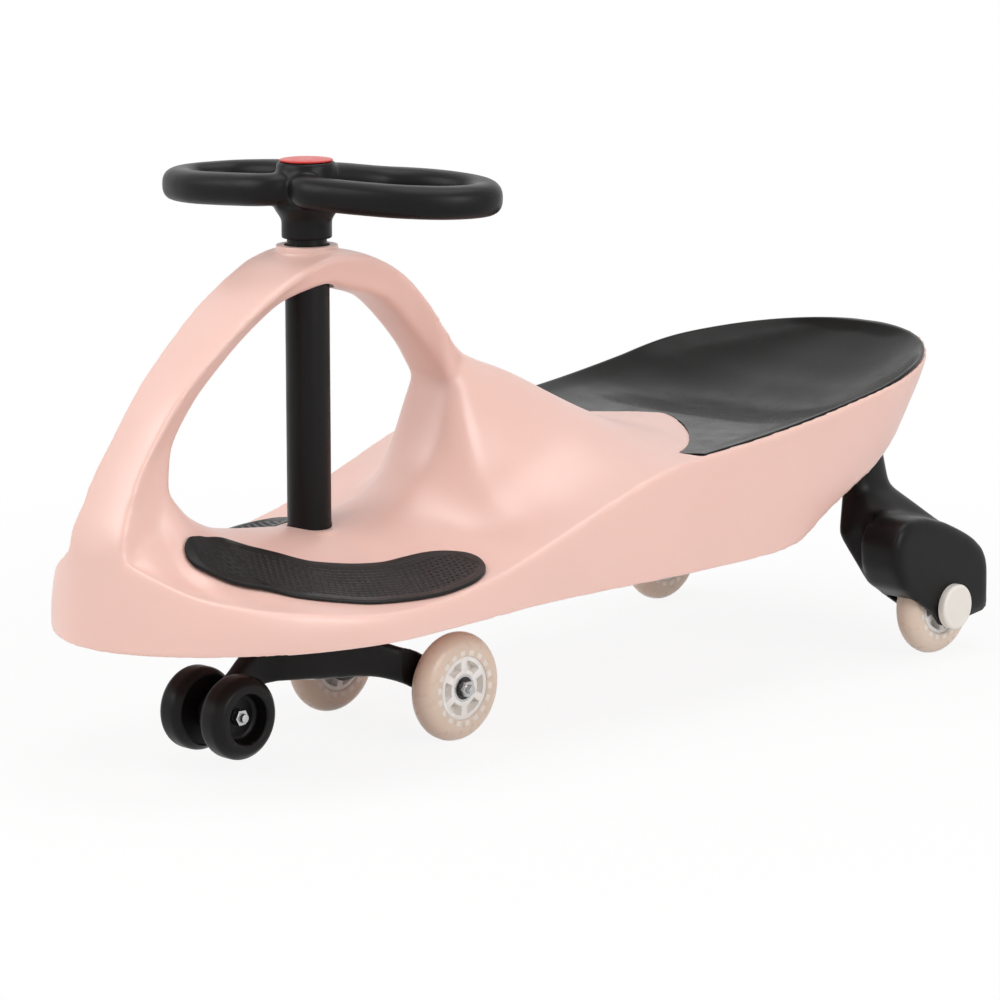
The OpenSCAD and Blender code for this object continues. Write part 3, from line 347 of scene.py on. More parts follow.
def tyre_urethane():
    """Cast polyurethane: smoky and waxy, so light bleeds a long way through the tread and sidewall."""
    made, shader = moulded(
        "cast_polyurethane_smoke", colours().tyre, 0.3, 14, 0.8, 0.01, None, 0.05, 0.5, {
            "Subsurface Weight": 0.6, "Subsurface Radius": (1.0, 0.8, 0.65), "Subsurface Scale": 6 * MM})
    # The hub's teeth are painted on the tyre as a paler ring of 18, at 23 to 26.5 mm of the tyre's 38 mm:
    # painted light of the hub seen through the tyre
    teeth, ring_reach = 18.0, 0.326
    tree = made.node_tree
    box = node(tree, "ShaderNodeTexCoord").outputs["Generated"]
    arm = node(tree, "ShaderNodeVectorMath", {0: box, 1: (0.5, 0.5, 0.5)}, operation="SUBTRACT")
    flat = node(tree, "ShaderNodeVectorMath", {
        0: arm.outputs[0], 1: (1, 0, 1)}, operation="MULTIPLY").outputs[0]
    reach = node(tree, "ShaderNodeVectorMath", {0: flat}, operation="LENGTH").outputs["Value"]
    off = node(tree, "ShaderNodeMath", {0: reach, 1: ring_reach}, operation="SUBTRACT")
    ring = node(tree, "ShaderNodeMath", {0: off.outputs[0]}, operation="ABSOLUTE")
    band = node(tree, "ShaderNodeMapRange", {
        "Value": ring.outputs[0], "From Min": 0.028, "From Max": 0.018})
    ends = node(tree, "ShaderNodeSeparateXYZ", {"Vector": flat}).outputs
    turn = node(tree, "ShaderNodeMath", {0: ends["Z"], 1: ends["X"]}, operation="ARCTAN2")
    spun = node(tree, "ShaderNodeMath", {0: turn.outputs[0], 1: teeth}, operation="MULTIPLY")
    wave = node(tree, "ShaderNodeMath", {0: spun.outputs[0]}, operation="SINE")
    tooth = node(tree, "ShaderNodeMapRange", {
        "Value": wave.outputs[0], "From Min": -0.3, "From Max": 0.3, "To Max": 0.7})
    share = node(tree, "ShaderNodeMath", {
        0: band.outputs["Result"], 1: tooth.outputs["Result"]}, operation="MULTIPLY")
    under = shader.inputs["Base Color"].links[0].from_socket
    # Paler ring painted where light from the hub would show through the tyre
    painted_hub_through_tyre = node(tree, "ShaderNodeMix", {
        "Factor": share.outputs[0], "A": under, "B": rgba(colours().hub)}, data_type="RGBA")
    tree.links.new(painted_hub_through_tyre.outputs["Result"], shader.inputs["Base Color"])
    return made


def hub_plastic():
    """Clear-white polycarbonate, moulded: milky and glossy, with its thin ribs painted white as a painted
    highlight.
    """
    return moulded(
        # Thin ribs painted white: a painted highlight
        "polycarbonate_milky", colours().hub, 0.22, 12, 0.8, 0.008, (WHITE, 0.6), 0.03, 0.5, {
            "Subsurface Weight": 0.3, "Subsurface Radius": (1.0, 0.95, 0.9),
            "Subsurface Scale": 4 * MM})[0]


def plated_steel(name, colour, rough, line_mm):
    """Zinc-plated steel: bright and cool, with fine turned lines that stretch its highlights."""
    made, tree, place, shader = new_material(name)
    # Turned lines are near 0.1 mm apart; they are drawn at line_mm so that they show at this distance
    lines = node(tree, "ShaderNodeTexNoise", {
        "Vector": place, "Scale": per_metre(line_mm), "Detail": 5.0}).outputs["Fac"]
    tint = node(tree, "ShaderNodeMix", {
        "Factor": lines, "A": rgba(mixed(colour, (0, 0, 0), 0.22)), "B": rgba(colour)}, data_type="RGBA")
    tree.links.new(tint.outputs["Result"], shader.inputs["Base Color"])
    dull = node(tree, "ShaderNodeMapRange", {
        "Value": lines, "From Min": 0.3, "From Max": 0.7, "To Min": rough - 0.06, "To Max": rough + 0.1})
    tree.links.new(dull.outputs["Result"], shader.inputs["Roughness"])
    bump = node(tree, "ShaderNodeBump", {"Height": lines, "Strength": 0.4, "Distance": 0.01 * MM})
    tree.links.new(bump.outputs["Normal"], shader.inputs["Normal"])
    shader.inputs["Metallic"].default_value = 1.0
    return made


def fastener_steel():
    """Bolts, nuts and races: bright plating."""
    return plated_steel("zinc_plated_steel", colours().steel, 0.26, 1.2)


def shield_steel():
    """Bearing shields: blackened, so they read as a dark ring between bright races."""
    return plated_steel("bearing_shield_blackened_steel", linear("#4A4745"), 0.34, 0.8)


FINISHES = {
    "body_plastic": body_plastic, "seat_skin": seat_rubber, "foot_rubber": foot_rubber,
    "black_plastic": black_plastic, "red_plastic": red_plastic, "cap_plastic": axle_cap_plastic,
    "wheel_tyre": tyre_urethane, "wheel_hub": hub_plastic, "bearing_nylon": bush_nylon,
    "fastener_steel": fastener_steel, "bearing_shield": shield_steel,
}
made_finishes = {}


def finish(slot):
    """Material for a slot, made once."""
    if slot not in made_finishes:
        made_finishes[slot] = FINISHES[slot]()
    return made_finishes[slot]


# Meshes and pieces

@contextmanager
def opened(mesh):
    """Mesh opened for editing and written back afterwards."""
    work = bmesh.new()
    work.from_mesh(mesh)
    yield work
    work.to_mesh(mesh)
    work.free()


def mesh_from(name, points, faces):
    """Mesh from points in millimetres, with its faces turned outward."""
    made = bpy.data.meshes.new(name)
    made.from_pydata([tuple(p) for p in np.asarray(points, float) * MM], [], faces)
    with opened(made) as work:
        bmesh.ops.remove_doubles(work, verts=work.verts, dist=1e-6)
        bmesh.ops.recalc_face_normals(work, faces=work.faces)
    return made


def shade(mesh, angle):
    """Smooth shading that keeps edges sharper than an angle."""
    limit = math.radians(angle)
    with opened(mesh) as work:
        for face in work.faces:
            face.smooth = True
        for edge in work.edges:
            edge.smooth = len(edge.link_faces) == 2 and edge.calc_face_angle(0) < limit


def linked(name, data):
    """New object in the scene."""
    made = bpy.data.objects.new(name, data)
    bpy.context.scene.collection.objects.link(made)
    return made


def dropped(holder):
    """Takes an object and its mesh out of the file."""
    mesh = holder.data
    bpy.data.objects.remove(holder)
    bpy.data.meshes.remove(mesh)


def piece(name, mesh, body, slot, replaces):
    """Object that rides on a body, takes a slot's finish and stands for the named CAD nodes."""
    mesh.name = name
    made = linked(name, mesh)
    mesh.materials.clear()
    mesh.materials.append(finish(slot))
    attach(made, body)
    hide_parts(*replaces)


def grid_faces(rows, columns, looped=False):
    """Quads between rings of points; looped also joins the last ring to the first."""
    out = []
    for j in range(rows if looped else rows - 1):
        here, beyond = j * columns, (j + 1) % rows * columns
        for i in range(columns):
            h = (i + 1) % columns
            out.append((here + i, beyond + i, beyond + h, here + h))
    return out


class Solids:
    """Closed forms gathered into one mesh."""

    def __init__(self):
        self.points = []
        self.faces = []
        self.count = 0

    def add(self, points, faces):
        points = np.asarray(points, float).reshape(-1, 3)
        self.points.append(points)
        self.faces += [tuple(i + self.count for i in f) for f in faces]
        self.count += len(points)

    def rings(self, rings, looped=False):
        """Skin over rings of points, closed at its ends or joined round."""
        rings = np.asarray(rings, float)
        rows, columns = rings.shape[:2]
        faces = grid_faces(rows, columns, looped)
        if not looped:
            faces.append(tuple(range(columns)))
            faces.append(tuple((rows - 1) * columns + i for i in range(columns)))
        self.add(rings.reshape(-1, 3), faces)

    def mesh(self, name):
        return mesh_from(name, np.concatenate(self.points), self.faces)


def lathe(profile, place, axis, segments=72):
    """Rings of a profile of [radius, along] pairs turned about an axis through a place."""
    profile = np.asarray(profile, float)
    turn = np.linspace(0, 2 * math.pi, segments, endpoint=False)
    radius, along = profile[:, 0][:, None], profile[:, 1][:, None]
    a, b = radius * np.cos(turn), radius * np.sin(turn)
    c = along + 0 * turn
    parts = {"Y": (a, c, b), "Z": (a, b, c)}[axis]
    return np.stack(parts, -1) + np.asarray(place, float)


def rounded(corners, radius, steps=4):
    """Closed polygon with its corners bent round; a corner may carry its own radius."""
    out = []
    for i, corner in enumerate(corners):
        here = np.array(corner[:2], float)
        r = corner[2] if len(corner) > 2 else radius
        if r <= 0:
            out.append(here)
            continue
        before = np.array(corners[i - 1][:2], float) - here
        after = np.array(corners[(i + 1) % len(corners)][:2], float) - here
        la, lb = np.linalg.norm(before), np.linalg.norm(after)
        a = here + before / la * min(r, 0.45 * la)
        b = here + after / lb * min(r, 0.45 * lb)
        for u in np.linspace(0, 1, steps + 1):
            out.append((1 - u) ** 2 * a + 2 * u * (1 - u) * here + u * u * b)
    return np.array(out)


def turned(name, corners, place, axis, radius):
    """Mesh of a closed profile turned about an axis, with its corners rounded."""
    solid = Solids()
    solid.rings(lathe(rounded(corners, radius), place, axis, ROUND), looped=True)
    made = solid.mesh(name)
    shade(made, 40)
    return made


def evaluated(holder):
    """Mesh of an object with its modifiers applied; the object goes."""
    graph = bpy.context.evaluated_depsgraph_get()
    made = bpy.data.meshes.new_from_object(holder.evaluated_get(graph))
    dropped(holder)
    return made


def without_crumbs(mesh, fewest=200):
    """Mesh without the loose specks that joining can leave inside a wall."""
    seen = set()
    crumbs = []
    with opened(mesh) as work:
        for first in work.verts:
            if first in seen:
                continue
            seen.add(first)
            island = [first]
            for vert in island:
                for edge in vert.link_edges:
                    other = edge.other_vert(vert)
                    if other not in seen:
                        seen.add(other)
                        island.append(other)
            if len(island) < fewest:
                crumbs += island
        bmesh.ops.delete(work, geom=crumbs, context="VERTS")
    return mesh


def fused(mesh, voxel):
    """Overlapping closed forms joined into one skin."""
    holder = linked("work", mesh)
    step = holder.modifiers.new("Fuse", "REMESH")
    step.mode = "VOXEL"
    step.voxel_size = voxel
    step.use_smooth_shade = True
    return without_crumbs(evaluated(holder))


def cut(mesh, cutter):
    """Mesh with a closed form taken away from it."""
    holder, tool = linked("work", mesh), linked("tool", cutter)
    step = holder.modifiers.new("Cut", "BOOLEAN")
    step.operation = "DIFFERENCE"
    step.solver = "EXACT"
    step.object = tool
    made = evaluated(holder)
    dropped(tool)
    return made


def joined(mesh, other):
    """Mesh with another added to it."""
    with opened(mesh) as work:
        work.from_mesh(other)
    bpy.data.meshes.remove(other)
    return mesh


def relax(mesh, passes, share=None, keep_size=True):
    """Smooths a mesh. Share gives each point's part in it, from its place in millimetres."""
    count = len(mesh.vertices)
    co = np.empty(count * 3)
    mesh.vertices.foreach_get("co", co)
    co = co.reshape(-1, 3)
    ends = np.empty(len(mesh.edges) * 2, np.int32)
    mesh.edges.foreach_get("vertices", ends)
    a, b = ends[0::2], ends[1::2]
    degree = np.bincount(ends, minlength=count)[:, None]
    weight = np.ones((count, 1)) if share is None else share(co / MM)[:, None]
    for step in range(passes):
        factor = -0.53 if keep_size and step % 2 else 0.5
        total = np.stack([
            np.bincount(a, co[b, k], count) + np.bincount(b, co[a, k], count) for k in range(3)], -1)
        co = co + factor * weight * (total / np.maximum(degree, 1) - co)
    mesh.vertices.foreach_set("co", co.ravel())
    mesh.update()


def near(spots):
    """Share that is 1 at some places and fades to 0 over a reach: [x, y, z, reach]."""
    def share(points):
        best = np.zeros(len(points))
        for x, y, z, reach in spots:
            d = np.linalg.norm(points - (x, y, z), axis=1) / reach
            best = np.maximum(best, np.clip(1 - d, 0, 1) ** 0.5)
        return best
    return share


def cad_copy(name):
    """Mesh of a CAD node, welded where its faces meet."""
    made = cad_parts[name].data.copy()
    with opened(made) as work:
        bmesh.ops.remove_doubles(work, verts=work.verts, dist=2e-6)
    return made


def eased_edges(name, width, angle=30):
    """Copy of a CAD node with flat faces joined up and its sharp edges rounded."""
    made = cad_copy(name)
    limit = math.radians(angle)
    with opened(made) as work:
        bmesh.ops.dissolve_limit(work, angle_limit=math.radians(1), verts=work.verts, edges=work.edges)
        sharp = [e for e in work.edges if len(e.link_faces) == 2 and e.calc_face_angle(0) > limit]
        bmesh.ops.bevel(
            work, geom=sharp, offset=width * MM, offset_type="OFFSET", segments=2, profile=0.5,
            affect="EDGES", clamp_overlap=True)
    shade(made, 40)
    return made


# Lines of the body: [along x, value]

def fair(points):
    """Smooth curve through points that rise in x, with no overshoot."""
    x, y = np.array(points, float).T
    slope = np.diff(y) / np.diff(x)
    lean = np.concatenate([slope[:1], np.zeros(len(x) - 2), slope[-1:]])
    a, b = slope[:-1], slope[1:]
    same = a * b > 0
    lean[1:-1][same] = 2 * a[same] * b[same] / (a[same] + b[same])

    def at(v):
        v = np.clip(v, x[0], x[-1])
        i = np.clip(np.searchsorted(x, v, side="right") - 1, 0, len(x) - 2)
        w = x[i + 1] - x[i]
        u = (v - x[i]) / w
        return (y[i] * (2 * u ** 3 - 3 * u ** 2 + 1) + y[i + 1] * (3 * u ** 2 - 2 * u ** 3)
                + w * (lean[i] * (u ** 3 - 2 * u ** 2 + u) + lean[i + 1] * (u ** 3 - u ** 2)))
    return at


def ease(u):
    u = np.clip(u, 0, 1)
    return u * u * (3 - 2 * u)


def oval(u, power=2.0):
    return np.maximum(0, 1 - np.abs(u) ** power) ** (1 / power)


C = COLUMN_X
NOSE_LEAN = 5
NOSE_TIP_X = NOSE_X - NOSE_LEAN
NOSE_OVAL_X = C + 30
TAIL_OVAL_X = TAIL_X + 144
NOSE_POWER = 1.85
POCKET_T = 0.955
LIP_W = WALL + 1.5
SEAT_FRONT = C - 260
BLEND_FRONT = C - 174
TONGUE_HALF = 0.79
SIDE_POINTS = 9

waist = fair([
    [TAIL_OVAL_X, SEAT_HALF], [C - 345, SEAT_HALF + 2], [C - 270, SEAT_HALF + 4],
    [C - 110, DECK_HALF - 6], [NOSE_OVAL_X, DECK_HALF]])
edge_z = fair([
    [TAIL_X, TAIL_RIM_Z], [TAIL_X + 64, TAIL_RIM_Z - 9.5], [TAIL_X + 95, TAIL_RIM_Z - 14],
    [TAIL_X + 154, TAIL_RIM_Z - 25], [TAIL_X + 259, TAIL_RIM_Z - 38.5], [C - 235, DECK_Z + 27],
    [C - 209, DECK_Z + 21.5], [C - 172, DECK_Z + 10], [C - 113, DECK_Z - 9.5],
    [C - 82, DECK_Z - 18.5], [C - 50, DECK_Z - 26], [C, DECK_Z - 32.5],
    [C + 45, DECK_Z - 33.5], [C + 74, DECK_Z - 31.5], [C + 104, DECK_Z - 28],
    [C + 131, DECK_Z - 24], [NOSE_X - 54, DECK_Z - 20], [NOSE_X - 38, DECK_Z - 15],
    [NOSE_X - 26, DECK_Z - 8], [NOSE_X - 18, DECK_Z - 1.5], [NOSE_X - 12, DECK_Z + 5.5],
    [NOSE_X - 10, DECK_Z + 11.5], [NOSE_X - 8.7, DECK_Z + 18], [NOSE_TIP_X, DECK_Z + 12]])
hem_height = fair([
    [TAIL_X, HEM_Z + 97], [TAIL_X + 29, HEM_Z + 90], [TAIL_X + 64, HEM_Z + 78],
    [TAIL_X + 81, HEM_Z + 69], [TAIL_X + 109, HEM_Z + 54], [TAIL_X + 197, HEM_Z + 20],
    [TAIL_X + 240, HEM_Z + 2], [TAIL_X + 275, HEM_Z], [NOSE_X, HEM_Z]])
hem_flare = fair([
    [TAIL_X, 0.84], [TAIL_X + 110, 0.88], [TAIL_X + 200, 0.95], [TAIL_X + 290, 1.0],
    [C - 100, 1.0], [C + 30, 1.0], [NOSE_X, 1.005]])
crest_z = fair([
    [TAIL_X, TAIL_RIM_Z], [C - 318, DECK_Z + 38], [C - 275, DECK_Z + 50],
    [C - 230, DECK_Z + 67], [C - 180, DECK_Z + 88], [C - 156, DECK_Z + 97],
    [C - 137, DECK_Z + 105], [C - 127, DECK_Z + 108], [C - 121, DECK_Z + 102],
    [C - 116, DECK_Z + 86], [C - 111, DECK_Z + 67], [C - 105, DECK_Z + 48],
    [C - 97, DECK_Z + 33], [C - 84, DECK_Z + 20], [C - 62, DECK_Z + 11], [C - 40, DECK_Z + 6],
    [C - 20, DECK_Z + 3], [C, DECK_Z], [C + 35, DECK_Z + 3],
    [C + 84, DECK_Z + 10], [C + 102, DECK_Z + 16], [C + 119, DECK_Z + 26],
    [C + 132, DECK_Z + 41], [C + 142, DECK_Z + 56], [C + 152, DECK_Z + 62],
    [NOSE_X - 41, DECK_Z + 60], [NOSE_X - 26, DECK_Z + 48], [NOSE_X - 13, DECK_Z + 28],
    [NOSE_TIP_X, DECK_Z + 13]])
crest_spread = fair([
    [C - 300, 0.62], [C - 237, 0.52], [C - 188, 0.42], [C - 155, 0.36],
    [C - 120, 0.3], [C - 96, 0.31], [C - 66, 0.4], [C - 25, 0.5],
    [C + 50, 0.53], [C + 105, 0.56], [C + 125, 0.43], [C + 148, 0.33],
    [NOSE_X - 49, 0.3], [NOSE_X - 24, 0.42], [NOSE_TIP_X, 0.5]])
crest_power = fair([
    [C - 230, 2.2], [C - 165, 2.6], [C - 125, 3.4], [C - 100, 3.2], [C - 70, 2.4], [C - 40, 2.2]])
dish_depth = fair([
    [TAIL_X, 0], [TAIL_X + 15, 6], [TAIL_X + 49, 16], [TAIL_X + 89, 24], [TAIL_X + 129, 27],
    [TAIL_X + 174, 22.5], [TAIL_X + 208, 14], [TAIL_X + 236, 7.5], [TAIL_X + 279, 4.5],
    [TAIL_X + 339, 3], [TAIL_X + 400, 2]])


def edge_y(x):
    """Half width of the body's upper edge."""
    nose = DECK_HALF * oval((x - NOSE_OVAL_X) / (NOSE_TIP_X - NOSE_OVAL_X), NOSE_POWER)
    tail = SEAT_HALF * oval((TAIL_OVAL_X - x) / (TAIL_OVAL_X - TAIL_X))
    return np.where(x > NOSE_OVAL_X, nose, np.where(x < TAIL_OVAL_X, tail, waist(x)))


def inset_y(x, w):
    """Half width of the seat's outline drawn in by an even distance."""
    tail = (SEAT_HALF - w) * oval((TAIL_OVAL_X - x) / (TAIL_OVAL_X - TAIL_X - w))
    return np.where(x < TAIL_OVAL_X, tail, edge_y(x) - w)


def pocket_y(x):
    tail = SEAT_HALF * POCKET_T * oval((TAIL_OVAL_X - x) / (TAIL_OVAL_X - TAIL_X - LIP_W))
    return np.where(x < TAIL_OVAL_X, tail, edge_y(x) * POCKET_T)


def hem_x(x):
    lean = ease((x - NOSE_OVAL_X) / (NOSE_TIP_X - NOSE_OVAL_X))
    return x + 16 * ease((TAIL_OVAL_X - x) / (TAIL_OVAL_X - TAIL_X)) + NOSE_LEAN * lean


def deck_height(x, t):
    """Upper surface ahead of the seat: a ridge along the middle that falls away to the edge."""
    spread, power = crest_spread(x), crest_power(x)
    end = 1 / (1 + (1 / spread) ** power)
    bell = (1 / (1 + (np.abs(t) / spread) ** power) - end) / (1 - end)
    return edge_z(x) + (crest_z(x) - edge_z(x)) * bell


def dish_height(x, t):
    return edge_z(x) - SEAT_LIP - dish_depth(x) * (1 - np.minimum(1, np.abs(t) / POCKET_T) ** 3.2)


def bow(t):
    return (1 - np.minimum(1, np.abs(t) / TONGUE_HALF) ** 1.3) ** 0.75


def seat_stations(count, last):
    """Stations of the seat: [x at the edge, x in the middle]."""
    u = np.sin(np.linspace(0, math.pi / 2, count))
    start = SEAT_FRONT - 1
    return np.stack([start + (last - start) * u, start - TONGUE + (last - start + TONGUE) * u], -1)


def body_stations():
    """Stations along the body: [x at the edge, x in the middle, zone].

    Zone 0 is the deck, 1 the tongue, 2 the seat and 3 the stern's lip.
    """
    nose = NOSE_OVAL_X + (NOSE_TIP_X - NOSE_OVAL_X) * np.cos(np.radians(np.linspace(3, 64, 44)))
    deck = np.linspace(nose[-1] - 2, C - 162, 110)
    out = [(x, x, 0) for x in np.concatenate([nose, deck])]
    for u in np.linspace(0, 1, 24):
        x = BLEND_FRONT + (SEAT_FRONT - BLEND_FRONT) * u
        out.append((x, x - TONGUE * ease(u), 1))
    out += [(a, b, 2) for a, b in seat_stations(80, TAIL_X + LIP_W + 0.6)]
    out += [(TAIL_X + d, TAIL_X + d, 3) for d in (LIP_W - 0.8, 2.5, 0.6)]
    return np.array(out)


def body_section(lip):
    """Points of every station from hem to hem, with or without the seat's lip."""
    rows = body_stations()
    s0, s1, zone = (rows[:, k][:, None] for k in range(3))
    half = np.concatenate([[1, 0.985, 0.975, 0.965, 0.955], np.linspace(0.945, 0.02, 46)])
    t = np.concatenate([-half, [0], half[::-1]])[None, :]
    x = s0 + (s1 - s0) * bow(t)
    e, p, a = edge_y(x), pocket_y(x), np.abs(t)
    inside = np.where(a <= POCKET_T, p * a / POCKET_T, p + (e - p) * (a - POCKET_T) / (1 - POCKET_T))
    y = np.where(zone == 2, np.sign(t) * inside, t * e)
    rim = edge_z(x) - (0 if lip else SEAT_LIP)
    dish = dish_height(x, t)
    share = ease((BLEND_FRONT - s0) / (BLEND_FRONT - SEAT_FRONT)) ** 2
    level = np.minimum(edge_z(x), dish + 5.2)
    deck = deck_height(x, t)
    z = np.where(zone == 0, deck, np.where(zone == 1, deck * (1 - share) + level * share,
                 np.where(zone == 2, np.where(a > POCKET_T + 0.005, rim, dish), rim)))
    upper = np.stack([x, y, z], -1)
    u = np.linspace(0, 1, SIDE_POINTS + 1)[None, :-1]
    ex = edge_y(s0)
    hy = ex * hem_flare(s0)
    swell = 2 * np.sin(math.pi * u) * np.minimum(1, ex / 40)
    side = hy + (ex - hy) * u + swell
    foot = np.stack([
        hem_x(s0) + (s0 - hem_x(s0)) * u, side, hem_height(s0) + (edge_z(s0) - hem_height(s0)) * u], -1)
    return np.concatenate([foot * (1, -1, 1), upper, foot[:, ::-1]], 1)


def add_shell(solids):
    """Hollow body: skin and lining joined along the hem, with a plate at each end."""
    skin = body_section(True)
    lining = body_section(False) * (1 - WALL / NOSE_X, 1 - WALL / DECK_HALF, 1)
    lining[:, 1:-1, 2] -= WALL
    # Where the skin is steep the lining drops further, so the wall keeps its thickness
    upper = slice(SIDE_POINTS, -SIDE_POINTS)
    steepest = 2.5
    normal = np.cross(np.gradient(skin, axis=0), np.gradient(skin, axis=1))[:, upper]
    upright = np.where(np.abs(normal[..., 2:]) < 1e-6, 1e-6, normal[..., 2:])
    slope = np.clip(-normal[..., :2] / upright, -steepest, steepest)
    inward = np.maximum(slope * skin[:, upper, :2] / (NOSE_X, DECK_HALF), 0)
    lining[:, upper, 2] -= WALL * (np.sqrt(1 + np.sum(slope ** 2, -1)) - 1 + np.sum(inward, -1))
    solids.rings(np.concatenate([skin, lining[:, ::-1]], 1))
    for ring, step in ((skin[0], -WALL), (skin[-1], WALL)):
        solids.rings(np.stack([ring, ring + (step, 0, 0)]))


ARCH_ROWS = np.array([
    [NOSE_X - 14, DECK_Z - 20, NOSE_X - 82, DECK_Z - 14, 25, 19, 2],
    [NOSE_X - 8.5, DECK_Z + 4, NOSE_X - 77, DECK_Z + 8, 27.5, 20, 2],
    [NOSE_X - 9, DECK_Z + 17, NOSE_X - 71, DECK_Z + 20, 27, 20, 2],
    [NOSE_X - 12, DECK_Z + 27, NOSE_X - 66, DECK_Z + 28, 26, 18.5, 2],
    [NOSE_X - 17, DECK_Z + 37, C + 137, DECK_Z + 37, 24, 16.5, 2],
    [NOSE_X - 28, DECK_Z + 58, C + 134, DECK_Z + 56, 22, 13.5, 2],
    [C + 160, DECK_Z + 77, C + 131, DECK_Z + 71, 21, 11.5, 2],
    [C + 135, ARCH_Z - 80, C + 111, ARCH_Z - 90, 22.5, 10, 2],
    [C + 101, ARCH_Z - 50, C + 86, ARCH_Z - 67, 25.5, 11, 2],
    [C + 75, ARCH_Z - 31, C + 61, ARCH_Z - 46.5, 28, 14, 2],
    [C + 47, ARCH_Z - 15, C + 37, ARCH_Z - 31, 30, 18, 2],
    [C + 24, ARCH_Z - 5, C + 14, ARCH_Z - 25, 31.5, 20, 2],
    [C, ARCH_Z - 0.4, C, ARCH_Z - 23, 32, 21, 2],
    [C - 24, ARCH_Z - 2.2, C - 22, ARCH_Z - 28, 31.5, 20, 2],
    [C - 46, ARCH_Z - 9.5, C - 55, ARCH_Z - 38, 30, 18, 2],
    [C - 68, ARCH_Z - 22, C - 84, ARCH_Z - 62, 29, 16, 2],
    [C - 87.5, ARCH_Z - 40, C - 107, ARCH_Z - 88, 28.5, 17, 2],
    [C - 105, ARCH_Z - 60, C - 121, DECK_Z + 76, 27, 20, 3],
    [C - 122, ARCH_Z - 76, C - 124, DECK_Z + 60, 23, 19, 4],
    [C - 139, ARCH_Z - 86, C - 124, DECK_Z + 46, 16, 12, 3],
    [C - 158, ARCH_Z - 95, C - 128, DECK_Z + 38, 9, 6, 1.5]])


def cut_corners(ring, times):
    """Closed ring with its corners cut again and again until they are round."""
    for _ in range(times):
        after = np.roll(ring, -1, axis=0)
        pair = np.stack([0.75 * ring + 0.25 * after, 0.25 * ring + 0.75 * after], 1)
        ring = pair.reshape(-1, ring.shape[1])
    return ring


def by_row(rows, steps):
    """Rows of a table read at even steps along smooth curves."""
    u = np.linspace(0, len(rows) - 1, steps)
    index = np.arange(len(rows))
    return np.stack([fair(np.stack([index, rows[:, k]], -1))(u) for k in range(rows.shape[1])], -1)


def add_arch(solids):
    """Arch over the column: a crowned band with thin edges that draws in towards the eye."""
    rings = []
    edge = 4
    for ox, oz, ix, iz, w, v, crown in by_row(ARCH_ROWS, 180):
        depth = math.hypot(ox - ix, oz - iz)
        ex, ez = (ox - ix) / depth, (oz - iz) / depth
        half = [
            (0, crown), (w * 0.6, crown * 0.64), (w - 2, -0.2), (w, -1.6), (w - 0.8, -edge),
            ((w + v) / 2 - 1.5, -depth * 0.55), (v, 2.5 - depth), (v * 0.5, -depth)]
        flat = np.array(half + [(-a, b) for a, b in half[:0:-1]], float)
        flat = cut_corners(flat, 2)
        rings.append(np.stack([ox + ex * flat[:, 1], flat[:, 0], oz + ez * flat[:, 1]], -1))
    solids.rings(np.array(rings))


def add_block(solids, x0, x1, y0, y1, z0, tops):
    """Block on a level foot whose top has its own height at each corner."""
    corners = [(x0, y0), (x1, y0), (x1, y1), (x0, y1)]
    foot = [(x, y, z0) for x, y in corners]
    solids.rings(np.array([foot, [(x, y, z) for (x, y), z in zip(corners, tops)]]))


SOCKET_X = (TAIL_X + 92, TAIL_X + 144)
SOCKET_Y = SEAT_HALF - 42
SOCKET_HALF = 9.5
SOCKET_COVER = 2


def add_leg_sockets(solids):
    """Blocks under the seat that the rear legs screw up into."""
    x0, x1 = SOCKET_X
    z0 = high("rear_leg_left").z
    for side in (-1, 1):
        y0, y1 = side * SOCKET_Y - SOCKET_HALF, side * SOCKET_Y + SOCKET_HALF
        tops = [
            float(dish_height(np.array(x), POCKET_T * y / pocket_y(np.array(x)))) - SOCKET_COVER
            for x, y in ((x0, y0), (x1, y0), (x1, y1), (x0, y1))]
        add_block(solids, x0, x1, y0, y1, z0, tops)


def disc(z0, z1, r, edge=0.8):
    """Profile of a solid round post from the axis out and back."""
    return [(ON_AXIS, z0), (r, z0), (r, z1 - edge), (r - edge, z1), (ON_AXIS, z1)]


